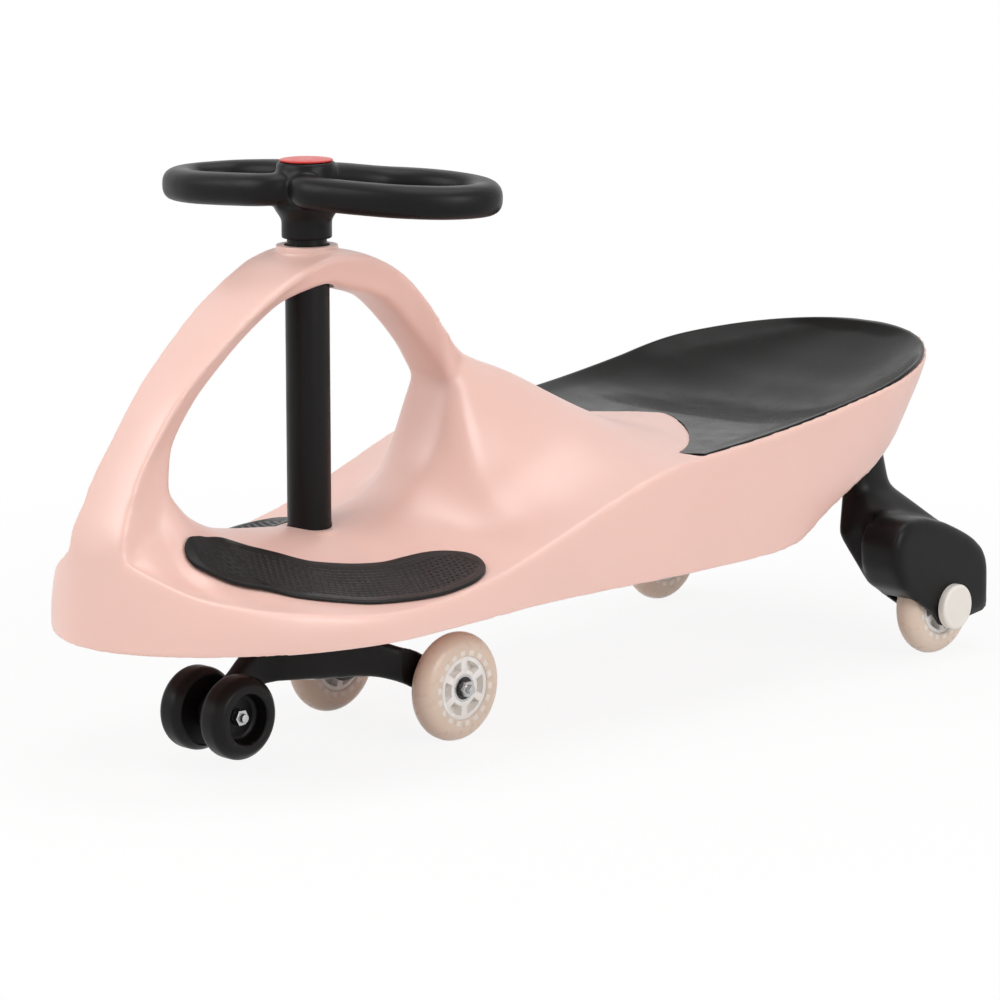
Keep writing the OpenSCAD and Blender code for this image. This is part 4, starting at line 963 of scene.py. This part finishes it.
class SWINGCAR_OT_body(bpy.types.Operator):
    """Builds the hollow moulded body with its arch, collar, boss and leg sockets"""
    bl_idname = "swing_car.body"
    bl_label = "Moulded body"

    def execute(self, context):
        solids = Solids()
        add_shell(solids)
        add_arch(solids)
        add_leg_sockets(solids)
        solids.rings(lathe(disc(ARCH_Z - 14, COLLAR_TOP, COLLAR_R), (C, 0, 0), "Z"))
        solids.rings(lathe(disc(HEM_Z, DECK_Z - 1, BOSS_R), (C, 0, 0), "Z"))
        mesh = fused(solids.mesh("body"), sizes().body_voxel)
        relax(mesh, 5, keep_size=False)
        relax(mesh, 24)
        # Creases worked soft: nose, front and back of the eye, then its corners and the stern's hem
        blends = [
            (C + 186, 0, DECK_Z + 21, 34), (C + 128, 0, DECK_Z + 35, 40),
            (C - 120, 0, DECK_Z + 76, 50), (C - 117, 0, DECK_Z + 55, 46)]
        for side in (-1, 1):
            blends += [
                (C - 95, side * 26, DECK_Z + 32, 40), (TAIL_X + 70, side * 108, HEM_Z + 74, 70)]
        relax(mesh, 40, near(blends), keep_size=False)
        relax(mesh, 4)
        bores = Solids()
        spans = {"lower_bush": (HEM_Z - 2, DECK_Z + 12), "upper_bush": (ARCH_Z - 40, COLLAR_TOP + 6)}
        for bush, (z0, z1) in spans.items():
            step = high(bush).z + 0.2
            lip = [
                (ON_AXIS, z0), (BODY_BORE_R, z0), (BODY_BORE_R, step), (COLUMN_GAP_R, step),
                (COLUMN_GAP_R, z1), (ON_AXIS, z1)]
            bores.rings(lathe(lip, (C, 0, 0), "Z", ROUND))
        mesh = cut(mesh, bores.mesh("bores"))
        ring = [
            (COLUMN_GAP_R, COLLAR_TOP - 1.6), (COLUMN_GAP_R, COLLAR_TOP), (COLLAR_R + 0.4, COLLAR_TOP),
            (COLLAR_R + 0.4, ARCH_Z - 6), (COLLAR_R - 1, ARCH_Z - 6), (COLLAR_R - 1, COLLAR_TOP - 1.6)]
        mesh = joined(mesh, turned("collar", ring, (C, 0, 0), "Z", 0.6))
        shade(mesh, 50)
        piece("moulded_body", mesh, "chassis", "body_plastic", ["body_shell"])
        return {"FINISHED"}


def plate(name, top, drop):
    """Closed mesh between a grid and the same grid dropped by a depth at each point."""
    under = top - np.stack([0 * drop, 0 * drop, drop], -1)
    solids = Solids()
    solids.rings(np.concatenate([top, under[:, ::-1]], 1))
    made = solids.mesh(name)
    shade(made, 50)
    return made


def rim_fall(rim, radius):
    """Drop of a rounded edge at a distance in from the rim."""
    return radius * (1 - np.sqrt(np.clip(1 - (1 - np.minimum(rim, radius) / radius) ** 2, 0, 1)))


class SWINGCAR_OT_seat_mat(bpy.types.Operator):
    """Builds the dished seat mat that lies in the pocket and laps the lip"""
    bl_idname = "swing_car.seat_mat"
    bl_label = "Seat mat"

    def execute(self, context):
        thick = sizes().mat_thickness / MM
        bare_lip = 3.3
        border = 1 - np.array([0, 0.4, 0.9, 1.6, 2.4, 3.4, 4.6, 6]) / 126
        half = np.concatenate([border, np.linspace(0.94, 0.012, 58)])
        t = np.concatenate([-half, [0], half[::-1]])[None, :]
        rows = seat_stations(110, TAIL_X + bare_lip + 0.25)
        s0, s1 = rows[:, 0][:, None] - 0.6, rows[:, 1][:, None] - 0.6
        x = s0 + (s1 - s0) * bow(t)
        y = t * inset_y(x, bare_lip)
        pocket = np.maximum(pocket_y(x), 0.5)
        share = np.minimum(np.abs(y) / pocket, 1.0)
        share = 1 - (1 - share) * ease((x - TAIL_X - LIP_W - 1) / 12)
        over = ease((share - 0.86) / 0.14)
        top = dish_height(x, POCKET_T * share) + thick + 0.8 * over
        rim = (1 - np.abs(t)) * inset_y(x, bare_lip)
        rim = np.minimum(rim, np.maximum(x - (TAIL_X + bare_lip), 0))
        top = top - rim_fall(rim, 0.8)
        drop = np.where(share > 0.985, 0.9, thick - 0.4) * np.ones_like(top)
        mesh = plate("seat", np.stack([x, y, top], -1), drop)
        piece("seat_mat", mesh, "chassis", "seat_skin", ["seat_pad"])
        return {"FINISHED"}


FOOT_ROWS = np.array([
    [C + 147.5, 39.5, 0.8], [C + 146.5, 40, 4], [C + 143, 41.6, 7.8], [C + 137, 44.1, 11.6],
    [C + 128, 47.8, 16.5], [C + 114, 53.5, 22.5], [C + 95, 60.5, 29],
    [C + 72, 70.5, 30.5], [C + 48, 82, 29.5], [C + 13, 91, 29.5], [C - 14, 94.5, 28.5],
    [C - 34, 95.5, 27], [C - 50, 95, 22], [C - 59, 94.2, 14.5], [C - 63, 93.4, 7.5], [C - 64.5, 93, 1.5]])


def foot_gap(x):
    return 0.7 + 1.6 * ease((x - C - 95) / 25)


def foot_pad_top(side, thick):
    """Upper grid of a foot pad: rounded rim, sunk band and staggered dimples."""
    pitch, size = sizes().dimple_pitch / MM, sizes().dimple_size / MM
    rows = by_row(FOOT_ROWS, 390)
    t = np.sin(np.linspace(-1, 1, 112) * math.pi / 2 * 0.985) / math.sin(math.pi / 2 * 0.985)
    x = rows[:, 0][:, None] + 0 * t
    across = rows[:, 2][:, None] * t
    y = rows[:, 1][:, None] + across
    line = np.concatenate([[0], np.cumsum(np.linalg.norm(np.diff(rows[:, :2], axis=0), axis=1))])
    along = line[:, None] + 0 * t
    rim = np.minimum(rows[:, 2][:, None] - np.abs(across), np.minimum(along, line[-1] - along) + 0.4)
    base = deck_height(x, np.minimum(1, y / edge_y(x))) + foot_gap(x)
    rise = thick - rim_fall(rim, 1.3)
    border = np.minimum(rim, np.minimum(along, line[-1] - along) * 0.75)
    sunk = ease((border - 5.2) / 1.2)
    lane_gap = pitch * 0.866
    lane = np.round(across / lane_gap)
    shift = (lane % 2) * 0.5
    spot = (np.round(along / pitch - shift) + shift) * pitch
    gap = np.hypot(along - spot, across - lane * lane_gap)
    dimple = ease((size / 2 + 0.35 - gap) / 0.7)
    inside = ease((border - 7.4) / 0.9)
    rise = rise - 0.3 * sunk - 1.4 * dimple * inside
    return np.stack([x, side * y, base + rise], -1), rise + 0.02


class SWINGCAR_OT_foot_pads(bpy.types.Operator):
    """Builds the two crescent foot pads with their band of dimples"""
    bl_idname = "swing_car.foot_pads"
    bl_label = "Foot pads"

    def execute(self, context):
        for name, side in (("left", 1), ("right", -1)):
            top, drop = foot_pad_top(side, sizes().foot_thickness / MM)
            mesh = plate("foot", top, drop)
            piece("foot_rest_" + name, mesh, "chassis", "foot_rubber", ["foot_pad_" + name])
        return {"FINISHED"}


# Middle line of a steering loop, in halves of its depth and length
WING = np.array([
    [1, -0.82], [1, -0.33], [0.8, 0.35], [0.35, 0.84], [-0.28, 1],
    [-0.865, 0.65], [-1, 0.02], [-0.685, -0.57], [-0.056, -0.88], [0.62, -1]])
LOOP_HALF_DEPTH = 45
LOOP_HALF_LENGTH = 55
LOOP_BACK = 23
WHEEL_SET = math.radians(14)
HUB_RISE = 4.5
WING_DROOP = math.tan(math.radians(2.8))


def wing_at(u):
    """Closed smooth curve through the wing's points."""
    n = len(WING)
    i = np.floor(u).astype(int)
    w = (u - i)[:, None]
    a, b, c, d = (WING[(i + k) % n] for k in (-1, 0, 1, 2))
    bend = (2 * a - 5 * b + 4 * c - d) * w ** 2 + (3 * b - a - 3 * c + d) * w ** 3
    return 0.5 * (2 * b + (c - a) * w + bend)


def steering_loop(side):
    """Rings of one loop, which rises a little where it runs back into the hub."""
    def spot(u):
        p = wing_at(u % len(WING))
        return np.stack([LOOP_HALF_DEPTH * p[:, 0] - LOOP_BACK, LOOP_HALF_LENGTH * (1 + p[:, 1]) + 6], -1)
    u = np.linspace(0, len(WING), 140, endpoint=False)
    p = spot(u)
    way = spot(u + 0.05) - spot(u - 0.05)
    way /= np.linalg.norm(way, axis=1)[:, None]
    turn = np.linspace(0, 2 * math.pi, 28, endpoint=False)
    flat = np.sign(np.cos(turn)) * np.abs(np.cos(turn)) ** 0.78 * sizes().rim_width / MM / 2
    tall = np.sign(np.sin(turn)) * np.abs(np.sin(turn)) ** 0.78 * sizes().rim_height / MM / 2
    reach = np.hypot(p[:, 0], p[:, 1])
    lift = HUB_RISE * ease(1 - (reach - 16) / 52) * ease((8 - p[:, 0]) / 16)
    x = p[:, 0][:, None] + way[:, 1][:, None] * flat
    y = side * (p[:, 1][:, None] - way[:, 0][:, None] * flat)
    z = tall + lift[:, None] + WING_DROOP * (60 - np.abs(y))
    c, s = math.cos(WHEEL_SET), math.sin(WHEEL_SET)
    return np.stack([C + c * x - s * y, s * x + c * y, RIM_Z + z], -1)


class SWINGCAR_OT_steering_wheel(bpy.types.Operator):
    """Builds the two-loop steering wheel with its hub and sleeve, and the red cap"""
    bl_idname = "swing_car.steering_wheel"
    bl_label = "Steering wheel"

    def execute(self, context):
        solids = Solids()
        for side in (1, -1):
            solids.rings(steering_loop(side), looped=True)
        ceiling = high("hub_cap").z
        top = ceiling - 1.8
        sleeve = low("steering_wheel").z
        under = RIM_Z - 11
        hub = [
            (ON_AXIS, under), (21, under), (21.5, RIM_Z - 2), (21, RIM_Z + 6), (20, top - 1.4),
            (19, top), (ON_AXIS, top)]
        solids.rings(lathe(hub, (C, 0, 0), "Z"))
        neck = [
            (ON_AXIS, sleeve), (16.4, sleeve), (17, sleeve + 0.6), (17, under - 8), (23, under + 1),
            (ON_AXIS, under + 1)]
        solids.rings(lathe(neck, (C, 0, 0), "Z"))
        mesh = fused(solids.mesh("wheel"), sizes().small_voxel)
        relax(mesh, 8)
        crook = near([(C + 16, 6, RIM_Z + 4, 34), (C - 20, 0, RIM_Z + 6, 30)])
        relax(mesh, 16, crook, keep_size=False)
        neck_top = high("steering_column").z
        spigot, bolt = SPIGOT_R + RUNNING_GAP, BOLT_BORE_R + RUNNING_GAP
        shoulder = neck_top + RUNNING_GAP
        bore = [
            (ON_AXIS, sleeve - 2), (spigot, sleeve - 2), (spigot, shoulder), (bolt, shoulder),
            (bolt, neck_top + 5), (12, neck_top + 5), (12, top + 3), (ON_AXIS, top + 3)]
        cutter = Solids()
        cutter.rings(lathe(bore, (C, 0, 0), "Z"))
        mesh = cut(mesh, cutter.mesh("bore"))
        shade(mesh, 50)
        piece("steering_wheel_moulding", mesh, "steering", "black_plastic", ["steering_wheel"])
        r = high("hub_cap").x - C
        cap = [
            (PINHOLE_R, top + 0.4), (10, top + 0.4), (10, top - 5), (11.6, top - 5),
            (11.6, top + RUNNING_GAP), (r, top + RUNNING_GAP), (r, ceiling - 0.7, 0.6),
            (r - 2, ceiling - 0.35, 1), (r / 2, ceiling - 0.05, 4), (PINHOLE_R, ceiling)]
        mesh = turned("cap", cap, (C, 0, 0), "Z", 0.4)
        piece("steering_cap", mesh, "steering", "red_plastic", ["hub_cap"])
        return {"FINISHED"}


class SWINGCAR_OT_column(bpy.types.Operator):
    """Builds the steering column with its bushes and thrust washer"""
    bl_idname = "swing_car.column"
    bl_label = "Steering column"

    def execute(self, context):
        lo, hi = low("steering_column").z, high("steering_column").z
        neck = low("steering_wheel").z - 6.5
        post = [
            (BOLT_BORE_R, lo), (COLUMN_R, lo), (COLUMN_R, neck, 1.0), (SPIGOT_R, neck + 0.6),
            (SPIGOT_R, hi), (BOLT_BORE_R, hi)]
        self.ring("column_tube", post, 0.6, "steering", "black_plastic", "steering_column")
        bore = COLUMN_R + RUNNING_GAP
        lo, hi = max(low("upper_bush").z, ARCH_Z - 21), high("upper_bush").z
        ring = [(bore, lo), (BUSH_R, lo), (BUSH_R, hi), (bore, hi)]
        self.ring("upper_bush_ring", ring, 0.5, "chassis", "bearing_nylon", "upper_bush")
        lo, hi = low("lower_bush").z, high("lower_bush").z
        flange = lo + 2.5
        ring = [
            (bore, lo), (FLANGE_R, lo), (FLANGE_R, flange), (BUSH_R, flange), (BUSH_R, hi), (bore, hi)]
        self.ring("lower_bush_ring", ring, 0.5, "chassis", "bearing_nylon", "lower_bush")
        lo, hi = low("thrust_washer").z, high("thrust_washer").z
        ring = [(bore, lo), (FLANGE_R, lo), (FLANGE_R, hi), (bore, hi)]
        self.ring("thrust_ring", ring, 0.4, "steering", "bearing_nylon", "thrust_washer")
        return {"FINISHED"}

    def ring(self, name, profile, radius, body, slot, cad):
        """Piece turned about the column's axis."""
        piece(name, turned(name, profile, (C, 0, 0), "Z", radius), body, slot, [cad])


WELL_REACH, WELL_HALF = 46, 15.5
SAFETY_REACH, SAFETY_HALF = 16, 60


def outer_skin(cad):
    """Share for rounding a moulding's outside: none in a wheel's well, at a joint or on the flange."""
    ceiling = high(cad).z - 5
    wells = [(Vector((SAFETY_X, 0, SAFETY_Z)), SAFETY_REACH, SAFETY_HALF)]
    for end in ("front", "rear"):
        wells += [(middle(f"{end}_hub_{side}"), WELL_REACH, WELL_HALF) for side in ("left", "right")]

    def share(points):
        clear = np.clip((ceiling - points[:, 2]) / 6, 0, 1)
        for at, reach, half in wells:
            from_axle = np.hypot(points[:, 0] - at.x, points[:, 2] - at.z)
            beside = np.where(np.abs(points[:, 1] - at.y) < half, 0.0, 1.0)
            clear = np.minimum(clear, np.maximum(beside, np.clip((from_axle - reach) / 10, 0, 1)))
        return clear
    return share


class SWINGCAR_OT_mouldings(bpy.types.Operator):
    """Rounds off the front bracket and the rear legs, as they leave the mould"""
    bl_idname = "swing_car.mouldings"
    bl_label = "Bracket and legs"

    def execute(self, context):
        for name, cad, body in (
                ("front_bracket_moulding", "front_bracket", "steering"),
                ("rear_leg_moulding_left", "rear_leg_left", "chassis"),
                ("rear_leg_moulding_right", "rear_leg_right", "chassis")):
            mesh = fused(cad_copy(cad), sizes().small_voxel)
            relax(mesh, 24)
            relax(mesh, 70, outer_skin(cad), keep_size=False)
            shade(mesh, 60)
            piece(name, mesh, body, "black_plastic", [cad])
        return {"FINISHED"}


TYRE_HALF = 10


def wheel_profile():
    """Section of a tyre: flat sides with a fine step, then a round tread."""
    tread = AXLE_Z - TYRE_HALF
    arc = [
        (tread + TYRE_HALF * math.cos(a), TYRE_HALF * math.sin(a))
        for a in np.linspace(-math.pi / 2, math.pi / 2, 33)]
    step = [(22, TYRE_HALF - 0.6), (23.5, TYRE_HALF), (24.6, TYRE_HALF)]
    return [(r, -y) for r, y in step] + arc + step[::-1]


class SWINGCAR_OT_road_wheels(bpy.types.Operator):
    """Builds the four road wheels: tyre, ribbed hub, sealed bearings and spacer"""
    bl_idname = "swing_car.road_wheels"
    bl_label = "Road wheels"

    def execute(self, context):
        for end in ("front", "rear"):
            for side in ("left", "right"):
                body = f"{end}_wheel_{side}"
                at = middle(f"{end}_hub_{side}")
                solid = Solids()
                solid.rings(lathe(wheel_profile(), at, "Y", 112), looped=True)
                mesh = solid.mesh("tyre")
                shade(mesh, 40)
                piece(f"{body}_tyre", mesh, body, "wheel_tyre", [f"{end}_tyre_{side}"])
                core = eased_edges(f"{end}_hub_{side}", 0.5)
                piece(f"{body}_core", core, body, "wheel_hub", [f"{end}_hub_{side}"])
                self.bearings(f"{body}_bearings", f"{end}_bearings_{side}", at, body)
                spacer = eased_edges(f"{end}_bearing_spacer_{side}", 0.3)
                piece(f"{body}_spacer", spacer, body, "fastener_steel", [f"{end}_bearing_spacer_{side}"])
        return {"FINISHED"}

    def bearings(self, name, cad, at, body):
        """Two ball bearings: bright races with a dark shield sunk between them."""
        lo, hi = low(cad), high(cad)
        outer, half = (hi.x - lo.x) / 2, (hi.y - lo.y) / 2
        inner, wide, sunk, steps = AXLE_BORE_R, 5, 0.5, 64
        solid = Solids()
        shields = []
        for way in (-1, 1):
            face, back = way * half, way * (half - wide)
            floor = face - way * sunk
            ring = [
                (inner, back), (outer, back), (outer, face), (outer - 1.5, face), (outer - 1.5, floor),
                (inner + 2.0, floor), (inner + 2.0, face), (inner, face)]
            first = len(solid.faces)
            solid.rings(lathe(ring, at, "Y", steps), looped=True)
            # The fifth strip of each ring is the shield
            shields += range(first + 4 * steps, first + 5 * steps)
        mesh = bpy.data.meshes.new(name)
        mesh.from_pydata([tuple(p) for p in np.concatenate(solid.points) * MM], [], solid.faces)
        shade(mesh, 30)
        piece(name, mesh, body, "fastener_steel", [cad])
        mesh.materials.append(finish("bearing_shield"))
        for k in shields:
            mesh.polygons[k].material_index = 1
        with opened(mesh) as work:
            bmesh.ops.recalc_face_normals(work, faces=work.faces)


class SWINGCAR_OT_safety_wheels(bpy.types.Operator):
    """Builds the two small deep-dished wheels under the nose"""
    bl_idname = "swing_car.safety_wheels"
    bl_label = "Safety wheels"

    def execute(self, context):
        for side, way in (("left", 1), ("right", -1)):
            cad = "safety_wheel_" + side
            lo, hi = low(cad), high(cad)
            r = (hi.x - lo.x) / 2
            inner, outer = (lo.y, hi.y) if way > 0 else (hi.y, lo.y)
            web = inner + way * 10
            w = abs(outer - inner)
            rim = inner + way * 0.8
            ring = [
                (AXLE_BORE_R, inner), (9, inner), (9.6, rim), (r - 5, rim), (r - 4, inner, 0.6),
                (r, inner + way * 5, 5), (r, inner + way * w * 0.5, 0), (r, outer - way * 5, 5),
                (r - 5, outer, 2), (18.2, outer), (17, outer - way * 1.2), (16.6, web + way * 2, 2),
                (14.5, web, 1.5), (8, web), (7.4, web + way * 0.1), (AXLE_BORE_R, web + way * 0.1)]
            mesh = turned("safety", ring, (SAFETY_X, 0, SAFETY_Z), "Y", 0.5)
            piece("safety_roller_" + side, mesh, cad + "_body", "black_plastic", [cad])
        return {"FINISHED"}


class SWINGCAR_OT_axle_caps(bpy.types.Operator):
    """Builds the cream caps over the rear axle nuts"""
    bl_idname = "swing_car.axle_caps"
    bl_label = "Rear axle caps"

    def execute(self, context):
        for side, way in (("left", 1), ("right", -1)):
            cad = "rear_axle_cap_" + side
            lo, hi = low(cad), high(cad)
            r = (hi.x - lo.x) / 2
            foot, face = (lo.y, hi.y) if way > 0 else (hi.y, lo.y)
            roof = face - way * 1.6
            ring = [
                (8.4, foot), (r, foot), (r, face - way * 1.2, 1.2), (r - 2.2, face, 1.4),
                (r - 4, face - way * 0.35, 0.6), (PINHOLE_R, face - way * 0.2), (PINHOLE_R, roof),
                (8.4, roof)]
            mesh = turned("axle_cap", ring, (REAR_X, 0, AXLE_Z), "Y", 0.5)
            piece("axle_cover_" + side, mesh, "chassis", "cap_plastic", [cad])
        return {"FINISHED"}


FASTENERS = [
    ("rear_axle_bolts", "chassis", 0.35), ("rear_axle_nuts", "chassis", 0.35),
    ("leg_screws", "chassis", 0.3), ("hub_bolt", "steering", 0.4),
    ("hub_washer", "steering", 0.2), ("column_bolt", "steering", 0.4),
    ("column_washer", "steering", 0.2), ("front_axle_bolts", "steering", 0.35),
    ("front_axle_nuts", "steering", 0.35), ("safety_axle_bolt", "steering", 0.35),
    ("safety_axle_nut", "steering", 0.35)]
SPACERS = [("rear_wheel_spacers", "chassis"), ("front_wheel_spacers", "steering")]


class SWINGCAR_OT_fasteners(bpy.types.Operator):
    """Builds the bolts, nuts, washers, screws and spacers with eased edges"""
    bl_idname = "swing_car.fasteners"
    bl_label = "Fasteners"

    def execute(self, context):
        for cad, body, width in FASTENERS:
            piece(cad + "_plated", eased_edges(cad, width), body, "fastener_steel", [cad])
        for cad, body in SPACERS:
            piece(cad + "_sleeve", eased_edges(cad, 0.3), body, "bearing_nylon", [cad])
        return {"FINISHED"}


# Stage

EYE = Vector((2.1366, 2.0201, 0.7226))
TURN = math.radians(46.42)
TILT = math.radians(11.16)


def view_axes():
    back = Vector((math.sin(TURN) * math.cos(TILT), math.cos(TURN) * math.cos(TILT), math.sin(TILT)))
    right = Vector((-math.cos(TURN), math.sin(TURN), 0))
    return right, back.cross(right), back


def placed(right, up, back, place):
    turn = Matrix((right, up, back)).transposed().to_4x4()
    return Matrix.Translation(place) @ turn


def soft_light(name, place, aim, size, power):
    """Oblong area light that looks at a place."""
    lamp = bpy.data.lights.new(name, "AREA")
    lamp.shape = "RECTANGLE"
    lamp.size, lamp.size_y = size
    lamp.energy = power
    made = linked(name, lamp)
    back = (Vector(place) - Vector(aim)).normalized()
    right = Vector((0, 0, 1)).cross(back)
    right = right.normalized() if right.length > 1e-4 else Vector((1, 0, 0))
    made.matrix_world = placed(right, back.cross(right), back, Vector(place))


def seen_directly(tree):
    """1 for camera, glossy and transmission rays, which all see the white backdrop."""
    rays = node(tree, "ShaderNodeLightPath").outputs
    first = node(tree, "ShaderNodeMath", {
        0: rays["Is Camera Ray"], 1: rays["Is Glossy Ray"]}, operation="MAXIMUM")
    last = node(tree, "ShaderNodeMath", {
        0: first.outputs[0], 1: rays["Is Transmission Ray"]}, operation="MAXIMUM")
    return last.outputs[0]


def paper_floor():
    """White paper sweep: matt, with the shadow kept near the object and plain white beyond."""
    made = bpy.data.materials.new("matt_white_paper")
    tree = bare_tree(made)
    place = node(tree, "ShaderNodeTexCoord").outputs["Object"]
    reach = node(tree, "ShaderNodeVectorMath", {0: place}, operation="LENGTH")
    fade = node(tree, "ShaderNodeMapRange", {
        "Value": reach.outputs["Value"], "From Min": 0.35, "From Max": 0.95,
        "To Min": 0.89, "To Max": 1.0}, interpolation_type="SMOOTHSTEP")
    white = node(tree, "ShaderNodeMath", {
        0: fade.outputs["Result"], 1: seen_directly(tree)}, operation="MULTIPLY")
    # Paper fibres are finer than a millimetre; they are drawn at 3 mm so that they show at this distance
    fibre = node(tree, "ShaderNodeTexNoise", {"Vector": place, "Scale": per_metre(3), "Detail": 3.0})
    tone = node(tree, "ShaderNodeMix", {
        "Factor": fibre.outputs["Fac"], "A": rgba(linear("#F4F4F3")), "B": rgba(linear("#FAFAF9"))},
        data_type="RGBA")
    paper = node(tree, "ShaderNodeBsdfDiffuse", {"Color": tone.outputs["Result"]})
    glow = node(tree, "ShaderNodeEmission", {"Color": (1, 1, 1, 1), "Strength": 1.0})
    both = node(tree, "ShaderNodeMixShader", {
        "Fac": white.outputs[0], 1: paper.outputs[0], 2: glow.outputs[0]})
    node(tree, "ShaderNodeOutputMaterial", {"Surface": both.outputs[0]})
    return made


class SWINGCAR_OT_stage(bpy.types.Operator):
    """Makes the camera, the white floor, the backdrop and the soft lights"""
    bl_idname = "swing_car.stage"
    bl_label = "Stage"

    def execute(self, context):
        scene = context.scene
        stage = scene.swing_car_stage
        lens = bpy.data.cameras.new("camera")
        lens.lens = stage.lens
        lens.sensor_width = 36
        lens.clip_end = 50
        camera = linked("camera", lens)
        right, up, back = view_axes()
        camera.matrix_world = placed(right, up, back, EYE)
        scene.camera = camera
        scene.view_settings.view_transform = "Standard"

        turn = np.linspace(0, 2 * math.pi, ROUND, endpoint=False)
        circle = np.stack([np.cos(turn), np.sin(turn), 0 * turn], -1)
        reaches = (0.4, 0.9, 1.6, 3.0)
        points = np.concatenate([r * circle for r in reaches])
        faces = grid_faces(len(reaches), ROUND) + [tuple(range(ROUND))]
        mesh = bpy.data.meshes.new("floor")
        mesh.from_pydata([tuple(p) for p in points], [], faces)
        mesh.materials.append(paper_floor())
        floor = linked("floor", mesh)
        floor.location = (0, 0, -0.0005)

        world = bpy.data.worlds.new("white_room")
        tree = bare_tree(world)
        room = node(tree, "ShaderNodeBackground", {"Color": (1, 1, 1, 1), "Strength": stage.sky})
        white = node(tree, "ShaderNodeBackground", {"Color": (1, 1, 1, 1), "Strength": 1.0})
        both = node(tree, "ShaderNodeMixShader", {
            "Fac": seen_directly(tree), 1: room.outputs[0], 2: white.outputs[0]})
        node(tree, "ShaderNodeOutputWorld", {"Surface": both.outputs[0]})
        scene.world = world

        aim = (0.05, 0, 0.2)
        soft_light("key", (1.9, -0.7, 1.5), aim, (1.6, 1.4), stage.key_power)
        soft_light("top", (-0.2, 0.3, 2.4), aim, (2.0, 1.4), stage.top_power)
        soft_light("side", (0.1, 2.5, 1.2), aim, (1.6, 1.2), stage.side_power)
        return {"FINISHED"}


# Add-on

class SWINGCAR_PT_panel(bpy.types.Panel):
    """Sidebar panel that lists the pieces, sizes and colours"""
    bl_idname = "SWINGCAR_PT_panel"
    bl_label = "Swing car"
    bl_space_type = "VIEW_3D"
    bl_region_type = "UI"
    bl_category = "Swing car"

    def draw(self, context):
        layout = self.layout
        for operator in OPERATORS:
            layout.operator(operator.bl_idname)
        for key in GROUPS:
            group = getattr(context.scene, key)
            column = layout.column()
            for name in group.__annotations__:
                column.prop(group, name)


OPERATORS = [
    SWINGCAR_OT_stage, SWINGCAR_OT_body, SWINGCAR_OT_seat_mat, SWINGCAR_OT_foot_pads,
    SWINGCAR_OT_steering_wheel, SWINGCAR_OT_column, SWINGCAR_OT_mouldings, SWINGCAR_OT_road_wheels,
    SWINGCAR_OT_safety_wheels, SWINGCAR_OT_axle_caps, SWINGCAR_OT_fasteners]
GROUPS = {
    "swing_car_sizes": SwingCarSizes, "swing_car_colours": SwingCarColours,
    "swing_car_stage": SwingCarStage}


def register():
    for made in [*GROUPS.values(), *OPERATORS, SWINGCAR_PT_panel]:
        bpy.utils.register_class(made)
    for name, group in GROUPS.items():
        setattr(bpy.types.Scene, name, bpy.props.PointerProperty(type=group))


def unregister():
    for name in GROUPS:
        delattr(bpy.types.Scene, name)
    for made in reversed([*GROUPS.values(), *OPERATORS, SWINGCAR_PT_panel]):
        bpy.utils.unregister_class(made)


def main():
    register()
    for operator in OPERATORS:
        group, name = operator.bl_idname.split(".")
        getattr(getattr(bpy.ops, group), name)()


if __name__ == "__main__":
    main()
